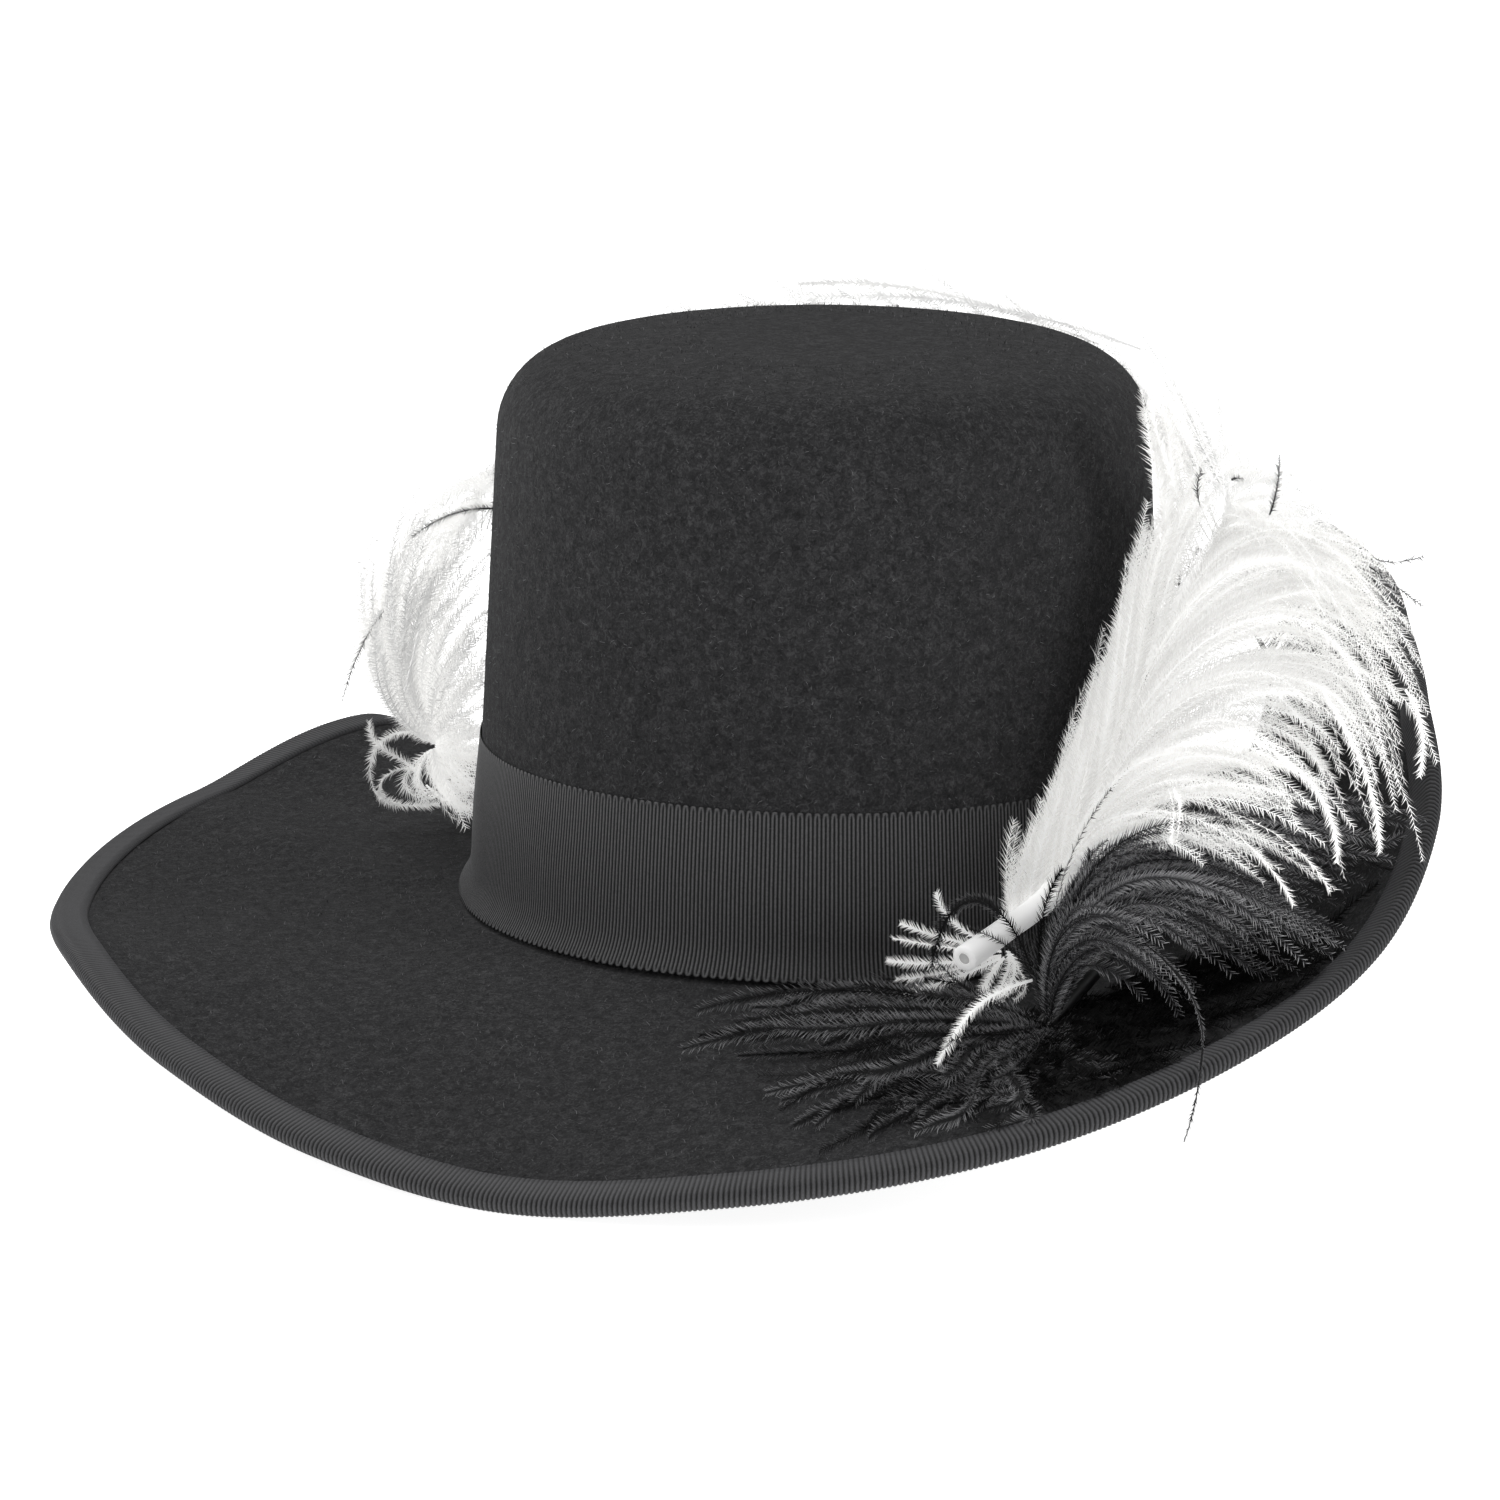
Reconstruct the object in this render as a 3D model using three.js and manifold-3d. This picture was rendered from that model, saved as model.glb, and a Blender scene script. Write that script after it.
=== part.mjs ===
// A cavalier hat: a tall felt crown, a wide brim turned up on the wearer's left, a ribbed
// ribbon round the crown, a ribbed binding on the brim's edge and two ostrich plumes.
// Millimetres, +Z up. The origin is the middle of the head opening. The front faces -Y and
// the turned-up side is +X. Azimuths are degrees round the crown from +X, so 90 is the back.
import * as THREE from "three";
import Module from "manifold-3d";

const wasm = await Module();
wasm.setup();

// Crown, measured on the outside of the felt
const crownHalfWidth = 86;
const crownHalfLength = 102;
const crownHeight = 135;
const crownLean = 7;
const shoulderRadius = 20;
const tipRise = 3;
const tipFlatHalfWidth = 24;

// Felt and brim
const feltThickness = 2.6;
const filletRadius = 4;
const brimWidth = 102.5;

// Ribbons
const clearance = 0.3;
const ribbonThickness = 0.9;
const bandFoot = 2;
const bandWidth = 38;
const bandFlare = 1;
const bindingWidth = 7;

// The last stretch of the brim is straight, so that the binding lies flat along it
const lipWidth = bindingWidth + 1;

// Plumes. Distances out and heights in the tables of their shafts and locks are percentages of
// the height at which the white plume runs round the side and back of the crown.
const plumeHeight = 100;
const plumeUnit = plumeHeight / 100;
const whiteQuillRadius = 2.6;
const blackQuillRadius = 2.4;
const shaftTipRadius = 0.8;
const lockThickness = 1.3;
const whiteQuillSeat = clearance * 2 + ribbonThickness + whiteQuillRadius;

// How finely the shapes are divided
const azimuthSteps = 60;
const shoulderSteps = 3;
const filletSteps = 2;
const brimSteps = 5;

// How the brim turns: the felt's slope where it leaves the crown and at its edge, in degrees
// above level. It stands up on the +X side, droops at the front and settles at the back.
const brimFolds = [
  { azimuth: 0, root: 20, edge: 95 },
  { azimuth: 20, root: 24, edge: 98 },
  { azimuth: 40, root: 10, edge: 36 },
  { azimuth: 60, root: -12, edge: -21 },
  { azimuth: 85, root: -12, edge: -21 },
  { azimuth: 108, root: -12, edge: -21 },
  { azimuth: 130, root: 3, edge: 9 },
  { azimuth: 150, root: 2, edge: -1 },
  { azimuth: 180, root: -2, edge: -3 },
  { azimuth: 200, root: -3, edge: 1 },
  { azimuth: 220, root: -5, edge: -9 },
  { azimuth: 235, root: -9, edge: -17 },
  { azimuth: 250, root: -12, edge: -21 },
  { azimuth: 265, root: -10, edge: -16 },
  { azimuth: 280, root: -7, edge: -8.5 },
  { azimuth: 300, root: 0, edge: 8.5 },
  { azimuth: 310, root: 4, edge: 21 },
  { azimuth: 320, root: 10, edge: 42 },
  { azimuth: 330, root: 14, edge: 70 },
  { azimuth: 345, root: 18, edge: 89 },
];

// A soft ridge across the left side of the brim, from beside the crown to near the edge
const ridge = { fromAzimuth: 180, fromShare: 0.12, toAzimuth: 148, toShare: 0.95, height: 2.2, width: 0.13 };

// Where the shaft of the white plume runs: beside the front of the crown, up its turned-up
// side and round the back, ending in the tuft behind the wearer's right. Distances out are
// counted from where the quill rests on the ribbon.
const whiteShaft = [
  { azimuth: 291.5, out: 0, height: 5 },
  { azimuth: 303, out: 1, height: 15 },
  { azimuth: 309, out: 5, height: 32 },
  { azimuth: 314, out: 7, height: 56 },
  { azimuth: 322, out: 9, height: 76 },
  { azimuth: 336, out: 10, height: 92 },
  { azimuth: 358, out: 10, height: 98 },
  { azimuth: 390, out: 10, height: 98 },
  { azimuth: 425, out: 10, height: 100 },
  { azimuth: 455, out: 10, height: 102 },
  { azimuth: 482, out: 11, height: 98 },
  { azimuth: 502, out: 14, height: 86 },
  { azimuth: 515, out: 20, height: 64 },
  { azimuth: 519, out: 24, height: 40 },
];

// Locks on the outer side of that shaft: the share of the shaft where each springs, the point
// that it bends towards and its tip, as azimuth, distance out and height, and how many locks
// there are from this row up to the next.
const whiteOuterLocks = [
  { share: 0.07, bend: [310, 22, 42], tip: [314, 30, 36], locks: 1 },
  { share: 0.1, bend: [314, 46, 66], tip: [311, 65, 38], locks: 2 },
  { share: 0.15, bend: [318, 54, 86], tip: [312, 82, 44], locks: 2 },
  { share: 0.2, bend: [320, 62, 98], tip: [317, 88, 44], locks: 1 },
  { share: 0.24, bend: [322, 64, 106], tip: [318, 96, 58], locks: 1 },
  { share: 0.28, bend: [325, 58, 112], tip: [322, 88, 74], locks: 2 },
  { share: 0.32, bend: [326, 44, 114], tip: [328, 70, 94], locks: 1 },
  { share: 0.36, bend: [328, 28, 112], tip: [331, 44, 106], locks: 2 },
  { share: 0.42, bend: [348, 24, 108], tip: [354, 30, 104], locks: 3 },
  { share: 0.52, bend: [385, 34, 104], tip: [388, 42, 90], locks: 2 },
  { share: 0.66, bend: [440, 34, 100], tip: [444, 52, 62], locks: 3 },
  { share: 0.8, bend: [484, 34, 92], tip: [488, 48, 52], locks: 3 },
  { share: 0.9, bend: [512, 38, 76], tip: [521, 42, 42], locks: 2 },
  { share: 1, bend: [521, 42, 24], tip: [512, 38, 8], locks: 1 },
];

// Locks on its inner side, which lie up against the crown and show above the crown's top
const whiteInnerLocks = [
  { share: 0.1, bend: [309, 8, 38], tip: [311, 7, 46], locks: 1 },
  { share: 0.17, bend: [315, 4, 66], tip: [317, 4, 74], locks: 1 },
  { share: 0.27, bend: [326, 4, 90], tip: [329, 3, 100], locks: 1 },
  { share: 0.36, bend: [344, 4, 108], tip: [348, 3, 114], locks: 2 },
  { share: 0.5, bend: [386, 6, 108], tip: [394, 3, 114], locks: 2 },
  { share: 0.66, bend: [434, 7, 122], tip: [442, 4, 132], locks: 2 },
  { share: 0.76, bend: [466, 7, 122], tip: [474, 4, 130], locks: 1 },
  { share: 0.82, bend: [486, 6, 108], tip: [496, 4, 114], locks: 1 },
  { share: 0.88, bend: [506, 6, 98], tip: [518, 7, 86], locks: 1 },
  { share: 0.94, bend: [522, 8, 78], tip: [529, 7, 56], locks: 1 },
  { share: 1, bend: [528, 12, 34], tip: [524, 7, 14], locks: 1 },
];

// Where the shaft of the black plume runs: from a knot on the front of the brim, under the
// white plume and round the back. The knot's height is worked out from the brim.
const blackKnot = { azimuth: 292, out: 46 };
const blackShaft = [
  { azimuth: 304, out: 34, height: 12 },
  { azimuth: 320, out: 28, height: 30 },
  { azimuth: 338, out: 26, height: 46 },
  { azimuth: 360, out: 24, height: 58 },
  { azimuth: 390, out: 24, height: 64 },
  { azimuth: 425, out: 26, height: 62 },
  { azimuth: 450, out: 28, height: 56 },
  { azimuth: 472, out: 30, height: 46 },
];

// Locks that fall from the knot over the front of the brim
const blackBrimLocks = [
  { share: 0.1, bend: [290, 14, 26], tip: [285, 8, 20], locks: 1 },
  { share: 0.07, bend: [280, 20, 18], tip: [270, 10, 8], locks: 1 },
  { share: 0.04, bend: [276, 36, 12], tip: [262, 24, 4], locks: 1 },
  { share: 0.01, bend: [276, 48, 8], tip: [259, 40, -2], locks: 1 },
  { share: 0, bend: [278, 58, 5], tip: [264, 60, -7], locks: 1 },
  { share: 0, bend: [280, 66, 3], tip: [270, 78, -11], locks: 1 },
  { share: 0, bend: [284, 70, 2], tip: [276, 86, -11], locks: 1 },
  { share: 0, bend: [288, 72, 2], tip: [282, 84, -8], locks: 1 },
];

// Locks that rise from the shaft under the white plume and fall over the turned-up side
const blackOuterLocks = [
  { share: 0.02, bend: [302, 62, 24], tip: [301, 84, 12], locks: 1 },
  { share: 0.06, bend: [306, 60, 34], tip: [305, 86, 18], locks: 1 },
  { share: 0.1, bend: [311, 54, 40], tip: [310, 76, 26], locks: 1 },
  { share: 0.18, bend: [326, 44, 54], tip: [326, 60, 42], locks: 2 },
  { share: 0.3, bend: [350, 28, 70], tip: [352, 30, 64], locks: 3 },
  { share: 0.5, bend: [388, 36, 70], tip: [392, 42, 54], locks: 3 },
  { share: 0.75, bend: [436, 44, 62], tip: [442, 58, 30], locks: 3 },
  { share: 1, bend: [478, 42, 40], tip: [480, 54, 20], locks: 1 },
];

const radians = THREE.MathUtils.degToRad;

// Slopes of a smooth curve through the rows of a table that closes on itself after a full
// turn; the curve never swings past the rows' own values.
function foldSlopes(column) {
  const count = brimFolds.length;
  const steps = brimFolds.map((row, i) => {
    const next = brimFolds[(i + 1) % count];
    const span = (next.azimuth - row.azimuth + 360) % 360;
    return { span, rise: (next[column] - row[column]) / span };
  });
  return steps.map((step, i) => {
    const before = steps[(i + count - 1) % count];
    if (before.rise * step.rise <= 0) {
      return 0;
    }
    const spans = before.span + step.span;
    return (3 * spans) / ((spans + step.span) / before.rise + (spans + before.span) / step.rise);
  });
}

const slopeTables = { root: foldSlopes("root"), edge: foldSlopes("edge") };

// The brim's slope, root or edge, at any azimuth, in radians
function brimSlope(column, azimuth) {
  const turn = ((azimuth % 360) + 360) % 360;
  const count = brimFolds.length;
  let index = count - 1;
  while (brimFolds[index].azimuth > turn) {
    index -= 1;
  }
  const row = brimFolds[index];
  const nextIndex = (index + 1) % count;
  const next = brimFolds[nextIndex];
  const span = (next.azimuth - row.azimuth + 360) % 360;
  const t = (turn - row.azimuth) / span;
  const degrees =
    row[column] * (1 + 2 * t) * (1 - t) ** 2 +
    next[column] * t * t * (3 - 2 * t) +
    span * slopeTables[column][index] * t * (1 - t) ** 2 -
    span * slopeTables[column][nextIndex] * t * t * (1 - t);
  return radians(degrees);
}

// The point at an azimuth, a distance out from the base of the crown and a height. Within the
// crown the distance shrinks the oval; beyond it the distance runs square to the oval.
function pointAt(azimuth, out, height) {
  const angle = radians(azimuth);
  const inset = Math.min(out, 0);
  const beyond = Math.max(out, 0);
  const outward = new THREE.Vector2(Math.cos(angle) / crownHalfWidth, Math.sin(angle) / crownHalfLength);
  outward.normalize().multiplyScalar(beyond);
  return new THREE.Vector3(
    (crownHalfWidth + inset) * Math.cos(angle) + outward.x,
    (crownHalfLength + inset) * Math.sin(angle) + outward.y,
    height,
  );
}

// Points along a curve that turns evenly from one heading to another over a length, in the
// plane of distance out and height
function arcPoints(start, from, to, length, steps) {
  const turn = Math.abs(to - from) < 1e-6 ? 1e-6 : to - from;
  const radius = length / turn;
  return Array.from({ length: steps }, (_, i) => {
    const heading = from + (turn * (i + 1)) / steps;
    return {
      out: start.out + radius * (Math.sin(heading) - Math.sin(from)),
      height: start.height + radius * (Math.cos(from) - Math.cos(heading)),
      heading,
    };
  });
}

const wallHeading = Math.atan2(-crownHeight, crownLean);

function crownOut(height) {
  return (-crownLean * height) / crownHeight;
}

// The outside of the crown from the flat of the tip down to the foot of the wall
function crownPath() {
  const flatOut = tipFlatHalfWidth - crownHalfWidth;
  const shoulderSlope = -Math.atan2(2 * tipRise, -flatOut - shoulderRadius - crownLean);
  const shoulderLength = shoulderRadius * (shoulderSlope - wallHeading);
  const trial = arcPoints({ out: 0, height: crownHeight }, shoulderSlope, wallHeading, shoulderLength, 1)[0];
  const shoulder = { out: crownOut(trial.height) - trial.out, height: crownHeight, heading: shoulderSlope };
  const middle = {
    out: (flatOut + shoulder.out) / 2,
    height: crownHeight + tipRise * 0.75,
    heading: shoulderSlope / 2,
  };
  const wallTop = arcPoints(shoulder, shoulderSlope, wallHeading, shoulderLength, shoulderSteps);
  const wall = [0.5, 0].map((share) => {
    const height = filletRadius + share * (trial.height - filletRadius);
    return { out: crownOut(height), height, heading: wallHeading };
  });
  const flat = { out: flatOut, height: crownHeight + tipRise, heading: 0 };
  return [flat, middle, shoulder, ...wallTop, ...wall];
}

// How far the soft ridge lifts the felt at an azimuth and a share of the brim's width
function ridgeLift(azimuth, share) {
  const along = (azimuth - ridge.fromAzimuth) / (ridge.toAzimuth - ridge.fromAzimuth);
  if (along < 0 || along > 1) {
    return 0;
  }
  const centre = THREE.MathUtils.lerp(ridge.fromShare, ridge.toShare, along);
  const fade = Math.sin(Math.PI * along) ** 0.5;
  return ridge.height * fade * Math.exp(-(((share - centre) / ridge.width) ** 2));
}

// The top of the brim at one azimuth, from the bend at the crown to the edge
function brimPath(azimuth) {
  const root = brimSlope("root", azimuth);
  const edge = brimSlope("edge", azimuth);
  const foot = { out: crownOut(filletRadius), height: filletRadius };
  const bend = arcPoints(foot, wallHeading, root, filletRadius * (root - wallHeading), filletSteps);
  const sweepLength = brimWidth - filletRadius - lipWidth;
  const sweep = arcPoints(bend[filletSteps - 1], root, edge, sweepLength, brimSteps);
  const lipStart = sweep[brimSteps - 1];
  const lipEnd = {
    out: lipStart.out + lipWidth * Math.cos(edge),
    height: lipStart.height + lipWidth * Math.sin(edge),
    heading: edge,
  };
  const lifted = sweep.slice(0, -1).map((point, i) => ({
    ...point,
    height: point.height + ridgeLift(azimuth, (i + 1) / brimSteps),
  }));
  return [...bend, ...lifted, lipStart, lipEnd];
}

// Height of the brim's top a distance out from the crown
function brimTop(azimuth, out) {
  const path = brimPath(azimuth);
  const next = Math.max(1, path.findIndex((point) => point.out > out));
  const t = (out - path[next - 1].out) / (path[next].out - path[next - 1].out);
  return THREE.MathUtils.lerp(path[next - 1].height, path[next].height, t);
}

// A point moved below the surface by a depth, square to the path
function below(point, depth) {
  return {
    out: point.out + depth * Math.sin(point.heading),
    height: point.height - depth * Math.cos(point.heading),
  };
}

function geometryFrom(positions, indices) {
  const geometry = new THREE.BufferGeometry();
  geometry.setAttribute("position", new THREE.Float32BufferAttribute(positions, 3));
  geometry.setIndex(indices);
  return geometry;
}

// Two triangles across four corners in order, split along the shorter diagonal, so that
// twisted surfaces that lie one on another are split alike
function quadTriangles(points, a, b, c, d) {
  const split = points[a].distanceTo(points[c]) <= points[b].distanceTo(points[d]);
  return split ? [a, b, c, a, c, d] : [a, b, d, b, c, d];
}

// Joins rings of points, each with the same count, into a closed skin. The rings either close
// on the first one, or end at a point at each end.
function skinRings(rings, startPoint, endPoint) {
  const count = rings[0].length;
  const points = rings.flat();
  const positions = points.flatMap((point) => point.toArray());
  const indices = [];
  const closed = startPoint === undefined;
  const spans = closed ? rings.length : rings.length - 1;
  for (let ring = 0; ring < spans; ring += 1) {
    const here = ring * count;
    const there = ((ring + 1) % rings.length) * count;
    for (let i = 0; i < count; i += 1) {
      const next = (i + 1) % count;
      indices.push(...quadTriangles(points, here + i, there + i, there + next, here + next));
    }
  }
  if (!closed) {
    positions.push(...startPoint.toArray(), ...endPoint.toArray());
    const start = rings.length * count;
    const last = (rings.length - 1) * count;
    for (let i = 0; i < count; i += 1) {
      const next = (i + 1) % count;
      indices.push(start, i, next, start + 1, last + next, last + i);
    }
  }
  return geometryFrom(positions, indices);
}

// One ring of points round the hat, from a function that gives the section at each azimuth
function ringOf(sectionPoint) {
  return Array.from({ length: azimuthSteps }, (_, i) => {
    const azimuth = (360 * i) / azimuthSteps;
    const { out, height } = sectionPoint(azimuth);
    return pointAt(azimuth, out, height);
  });
}

// Rings for a section given as a list of points that has the same length at every azimuth
function ringsOf(section) {
  const count = section(0).length;
  return Array.from({ length: count }, (_, i) => ringOf((azimuth) => section(azimuth)[i]));
}

// The felt, or with some growth the room that it takes together with a margin all round
function feltBody(growth = 0) {
  const crown = crownPath();
  const section = (azimuth) => {
    const path = [...crown, ...brimPath(azimuth)];
    const outside = path.map((point) => below(point, -growth));
    const inside = path.map((point) => below(point, feltThickness + growth)).reverse();
    return [...outside, ...inside];
  };
  const top = crownHeight + tipRise;
  const outerCentre = new THREE.Vector3(0, 0, top + growth);
  const innerCentre = new THREE.Vector3(0, 0, top - feltThickness - growth);
  return skinRings(ringsOf(section), outerCentre, innerCentre);
}

function crownBand(growth = 0) {
  const lie = (share, flare, depth) => {
    const height = bandFoot - growth + share * (bandWidth + 2 * growth);
    return { out: crownOut(height) + clearance + flare + depth, height };
  };
  const rows = [
    { share: 1, flare: 0 },
    { share: 0.15, flare: bandFlare * 0.2 },
    { share: 0, flare: bandFlare },
  ];
  const inner = rows.map((row) => lie(row.share, row.flare, 0));
  const outer = rows.map((row) => lie(row.share, row.flare, ribbonThickness + growth)).reverse();
  const section = [...inner, ...outer];
  return skinRings(ringsOf(() => section).reverse());
}

// The binding's section in the plane of the brim's edge: how far it runs back from the edge and
// how far it stands above the felt
function bindingSection(growth) {
  const radius = feltThickness / 2 + clearance + ribbonThickness + growth;
  const middle = -feltThickness / 2;
  const nose = [45, 0, -45].map((degrees) => ({
    along: radius * Math.cos(radians(degrees)),
    above: middle + radius * Math.sin(radians(degrees)),
  }));
  const outer = [
    { along: -bindingWidth, above: middle + radius },
    { along: 0, above: middle + radius },
    ...nose,
    { along: 0, above: middle - radius },
    { along: -bindingWidth, above: middle - radius },
  ];
  const inner = [
    { along: -bindingWidth, above: -feltThickness - clearance },
    { along: clearance, above: -feltThickness - clearance },
    { along: clearance, above: clearance },
    { along: -bindingWidth, above: clearance },
  ];
  return [...outer, ...inner];
}

function brimBinding(growth = 0) {
  const profile = bindingSection(growth);
  const section = (azimuth) => {
    const path = brimPath(azimuth);
    const edge = path[path.length - 1];
    return profile.map((point) => {
      const raised = below(edge, -point.above);
      return {
        out: raised.out + point.along * Math.cos(edge.heading),
        height: raised.height + point.along * Math.sin(edge.heading),
      };
    });
  };
  return skinRings(ringsOf(section));
}

function solidFrom(geometry) {
  const vertProperties = new Float32Array(geometry.getAttribute("position").array);
  const triVerts = new Uint32Array(geometry.getIndex().array);
  return new wasm.Manifold(new wasm.Mesh({ numProp: 3, vertProperties, triVerts }));
}

// A solid swept through stations, each with a centre and two half-axes of its oval section
function sweptSolid(stations, sides) {
  const rings = stations.map(({ centre, across, thick }) =>
    Array.from({ length: sides }, (_, i) => {
      const angle = (2 * Math.PI * i) / sides;
      return centre.clone().addScaledVector(across, Math.cos(angle)).addScaledVector(thick, Math.sin(angle));
    }),
  );
  const first = stations[0].centre;
  const last = stations[stations.length - 1].centre;
  return solidFrom(skinRings(rings, first, last));
}

// A point of a plume from a row of its tables
function plumePoint(azimuth, out, height) {
  return pointAt(azimuth, out * plumeUnit, height * plumeUnit);
}

function shaftCurve(points) {
  return new THREE.CatmullRomCurve3(points, false, "centripetal");
}

function shaftSolid(curve, quillRadius) {
  const steps = 20;
  const stations = Array.from({ length: steps + 1 }, (_, i) => {
    const share = i / steps;
    const ahead = curve.getTangentAt(share);
    const radius = THREE.MathUtils.lerp(quillRadius, shaftTipRadius, share);
    const across = new THREE.Vector3(0, 0, 1).cross(ahead).normalize().multiplyScalar(radius);
    const thick = across.clone().cross(ahead);
    return { centre: curve.getPointAt(share), across, thick };
  });
  return sweptSolid(stations, 6);
}

// The rows of a table with the further locks that each row asks for before the next one
function lockRows(rows) {
  return rows.flatMap((row, i) => {
    const next = rows[i + 1] ?? row;
    return Array.from({ length: row.locks }, (_, lock) => {
      const t = lock / row.locks;
      const mix = (a, b) => a.map((value, axis) => THREE.MathUtils.lerp(value, b[axis], t));
      return {
        share: THREE.MathUtils.lerp(row.share, next.share, t),
        bend: mix(row.bend, next.bend),
        tip: mix(row.tip, next.tip),
      };
    });
  });
}

// The line of one lock, from the shaft past its bend to its tip
function lockCurve(curve, row) {
  const root = curve.getPointAt(row.share);
  return new THREE.QuadraticBezierCurve3(root, plumePoint(...row.bend), plumePoint(...row.tip));
}

// Locks side by side between the rows of a table. Each is as wide as its share of the fan, a
// little over so that neighbours join, and narrows towards its tip.
function lockSolids(curve, rows) {
  const overlap = 0.62;
  const narrowing = [0.3, 1, 0.85, 0.2];
  const lines = lockRows(rows).map((row) => lockCurve(curve, row));
  return lines.map((line, i) => {
    const before = lines[Math.max(i - 1, 0)];
    const after = lines[Math.min(i + 1, lines.length - 1)];
    const reach = after === line || before === line ? 1 : 2;
    const stations = narrowing.map((width, step) => {
      const t = step / (narrowing.length - 1);
      const along = line.getTangent(t);
      const spread = after.getPoint(t).sub(before.getPoint(t)).divideScalar(reach);
      spread.addScaledVector(along, -spread.dot(along));
      const half = Math.max(spread.length() * overlap * width, lockThickness);
      const across = spread.normalize().multiplyScalar(half);
      const thick = across.clone().cross(along).normalize().multiplyScalar(lockThickness * (1 - 0.5 * t));
      return { centre: line.getPoint(t), across, thick };
    });
    return sweptSolid(stations, 4);
  });
}

// One solid from many, trimmed back to the clearance from the felt and the ribbons. Hollows
// closed in between crossing locks are filled, by keeping the outer skin alone.
function fused(solids) {
  const whole = solids.reduce((sum, solid) => sum.add(solid));
  const hatRoom = [feltBody, crownBand, brimBinding].map((piece) => solidFrom(piece(clearance)));
  const trimmed = hatRoom.reduce((rest, room) => rest.subtract(room), whole);
  const skins = trimmed.decompose().filter((skin) => skin.volume() > 0);
  const mesh = skins.reduce((sum, skin) => sum.add(skin)).getMesh();
  return geometryFrom(Array.from(mesh.vertProperties), Array.from(mesh.triVerts));
}

function whitePlume() {
  const points = whiteShaft.map(({ azimuth, out, height }) =>
    pointAt(azimuth, whiteQuillSeat + out * plumeUnit, height * plumeUnit),
  );
  const curve = shaftCurve(points);
  return fused([
    shaftSolid(curve, whiteQuillRadius),
    ...lockSolids(curve, whiteOuterLocks),
    ...lockSolids(curve, whiteInnerLocks),
  ]);
}

function blackPlume() {
  const knotOut = blackKnot.out * plumeUnit;
  const knotHeight = brimTop(blackKnot.azimuth, knotOut) + clearance * 2 + blackQuillRadius;
  const knot = pointAt(blackKnot.azimuth, knotOut, knotHeight);
  const rest = blackShaft.map(({ azimuth, out, height }) => plumePoint(azimuth, out, height));
  const curve = shaftCurve([knot, ...rest]);
  return fused([
    shaftSolid(curve, blackQuillRadius),
    ...lockSolids(curve, blackBrimLocks),
    ...lockSolids(curve, blackOuterLocks),
  ]);
}

function addPiece(group, name, geometry, color, roughness) {
  geometry.computeVertexNormals();
  const material = new THREE.MeshStandardMaterial({ name, color, roughness, metalness: 0 });
  const mesh = new THREE.Mesh(geometry, material);
  mesh.name = name;
  group.add(mesh);
}

const hat = new THREE.Group();
hat.name = "cavalier_hat";
addPiece(hat, "felt_hat_body", feltBody(), 0x323236, 0.95);
addPiece(hat, "crown_band", crownBand(), 0x1e1e21, 0.75);
addPiece(hat, "brim_binding", brimBinding(), 0x2c2c30, 0.75);
addPiece(hat, "white_plume", whitePlume(), 0xe9e6df, 0.85);
addPiece(hat, "black_plume", blackPlume(), 0x141416, 0.8);

export default hat;
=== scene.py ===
from math import cos, radians, sin

import bpy
import numpy as np
from mathutils import Matrix, Vector


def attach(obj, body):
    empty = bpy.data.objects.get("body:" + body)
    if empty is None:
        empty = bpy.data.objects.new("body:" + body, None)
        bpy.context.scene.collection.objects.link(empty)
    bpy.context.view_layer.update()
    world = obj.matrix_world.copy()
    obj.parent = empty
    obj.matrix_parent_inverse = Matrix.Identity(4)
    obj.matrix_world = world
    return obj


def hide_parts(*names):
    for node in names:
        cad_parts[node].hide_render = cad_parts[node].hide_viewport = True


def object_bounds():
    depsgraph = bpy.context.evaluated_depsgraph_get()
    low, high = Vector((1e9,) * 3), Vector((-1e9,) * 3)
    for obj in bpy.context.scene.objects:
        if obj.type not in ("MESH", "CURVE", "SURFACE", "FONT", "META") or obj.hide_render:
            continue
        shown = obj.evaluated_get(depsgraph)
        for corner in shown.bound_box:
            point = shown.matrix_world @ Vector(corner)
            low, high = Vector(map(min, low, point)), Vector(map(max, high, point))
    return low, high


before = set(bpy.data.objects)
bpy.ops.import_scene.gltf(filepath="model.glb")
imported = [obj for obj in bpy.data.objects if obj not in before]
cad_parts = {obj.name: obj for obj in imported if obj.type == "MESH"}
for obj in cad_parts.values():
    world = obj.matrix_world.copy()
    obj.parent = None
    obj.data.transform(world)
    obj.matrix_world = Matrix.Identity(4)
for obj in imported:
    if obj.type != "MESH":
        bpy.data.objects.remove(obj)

cad_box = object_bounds()
chance = np.random.default_rng(7)
MM = 0.001

# Crown, brim, ribbons and quill, as in the part
CROWN_HALF_WIDTH = 86.0
CROWN_HALF_LENGTH = 102.0
CROWN_HEIGHT = 135.0
CROWN_LEAN = 7.0
SHOULDER_RADIUS = 20.0
TIP_RISE = 3.0
TIP_FLAT_HALF_WIDTH = 24.0
FELT_THICKNESS = 2.6
FILLET_RADIUS = 4.0
BRIM_WIDTH = 102.5
CLEARANCE = 0.3
RIBBON_THICKNESS = 0.9
BAND_FOOT = 2.0
BAND_WIDTH = 38.0
BINDING_WIDTH = 7.0
LIP_WIDTH = BINDING_WIDTH + 1.0
BLACK_QUILL_RADIUS = 2.4

# A little fuller than in the part: the flare of the band's foot and the cut white quill
BAND_FLARE = 2.8
BAND_FLARE_HEIGHT = 8.0
WHITE_QUILL_RADIUS = 3.2

# The thin end of a plume's shaft, and the points along the line of a barb
SHAFT_TIP_RADIUS = 0.3
BARB_STEPS = 15

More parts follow.
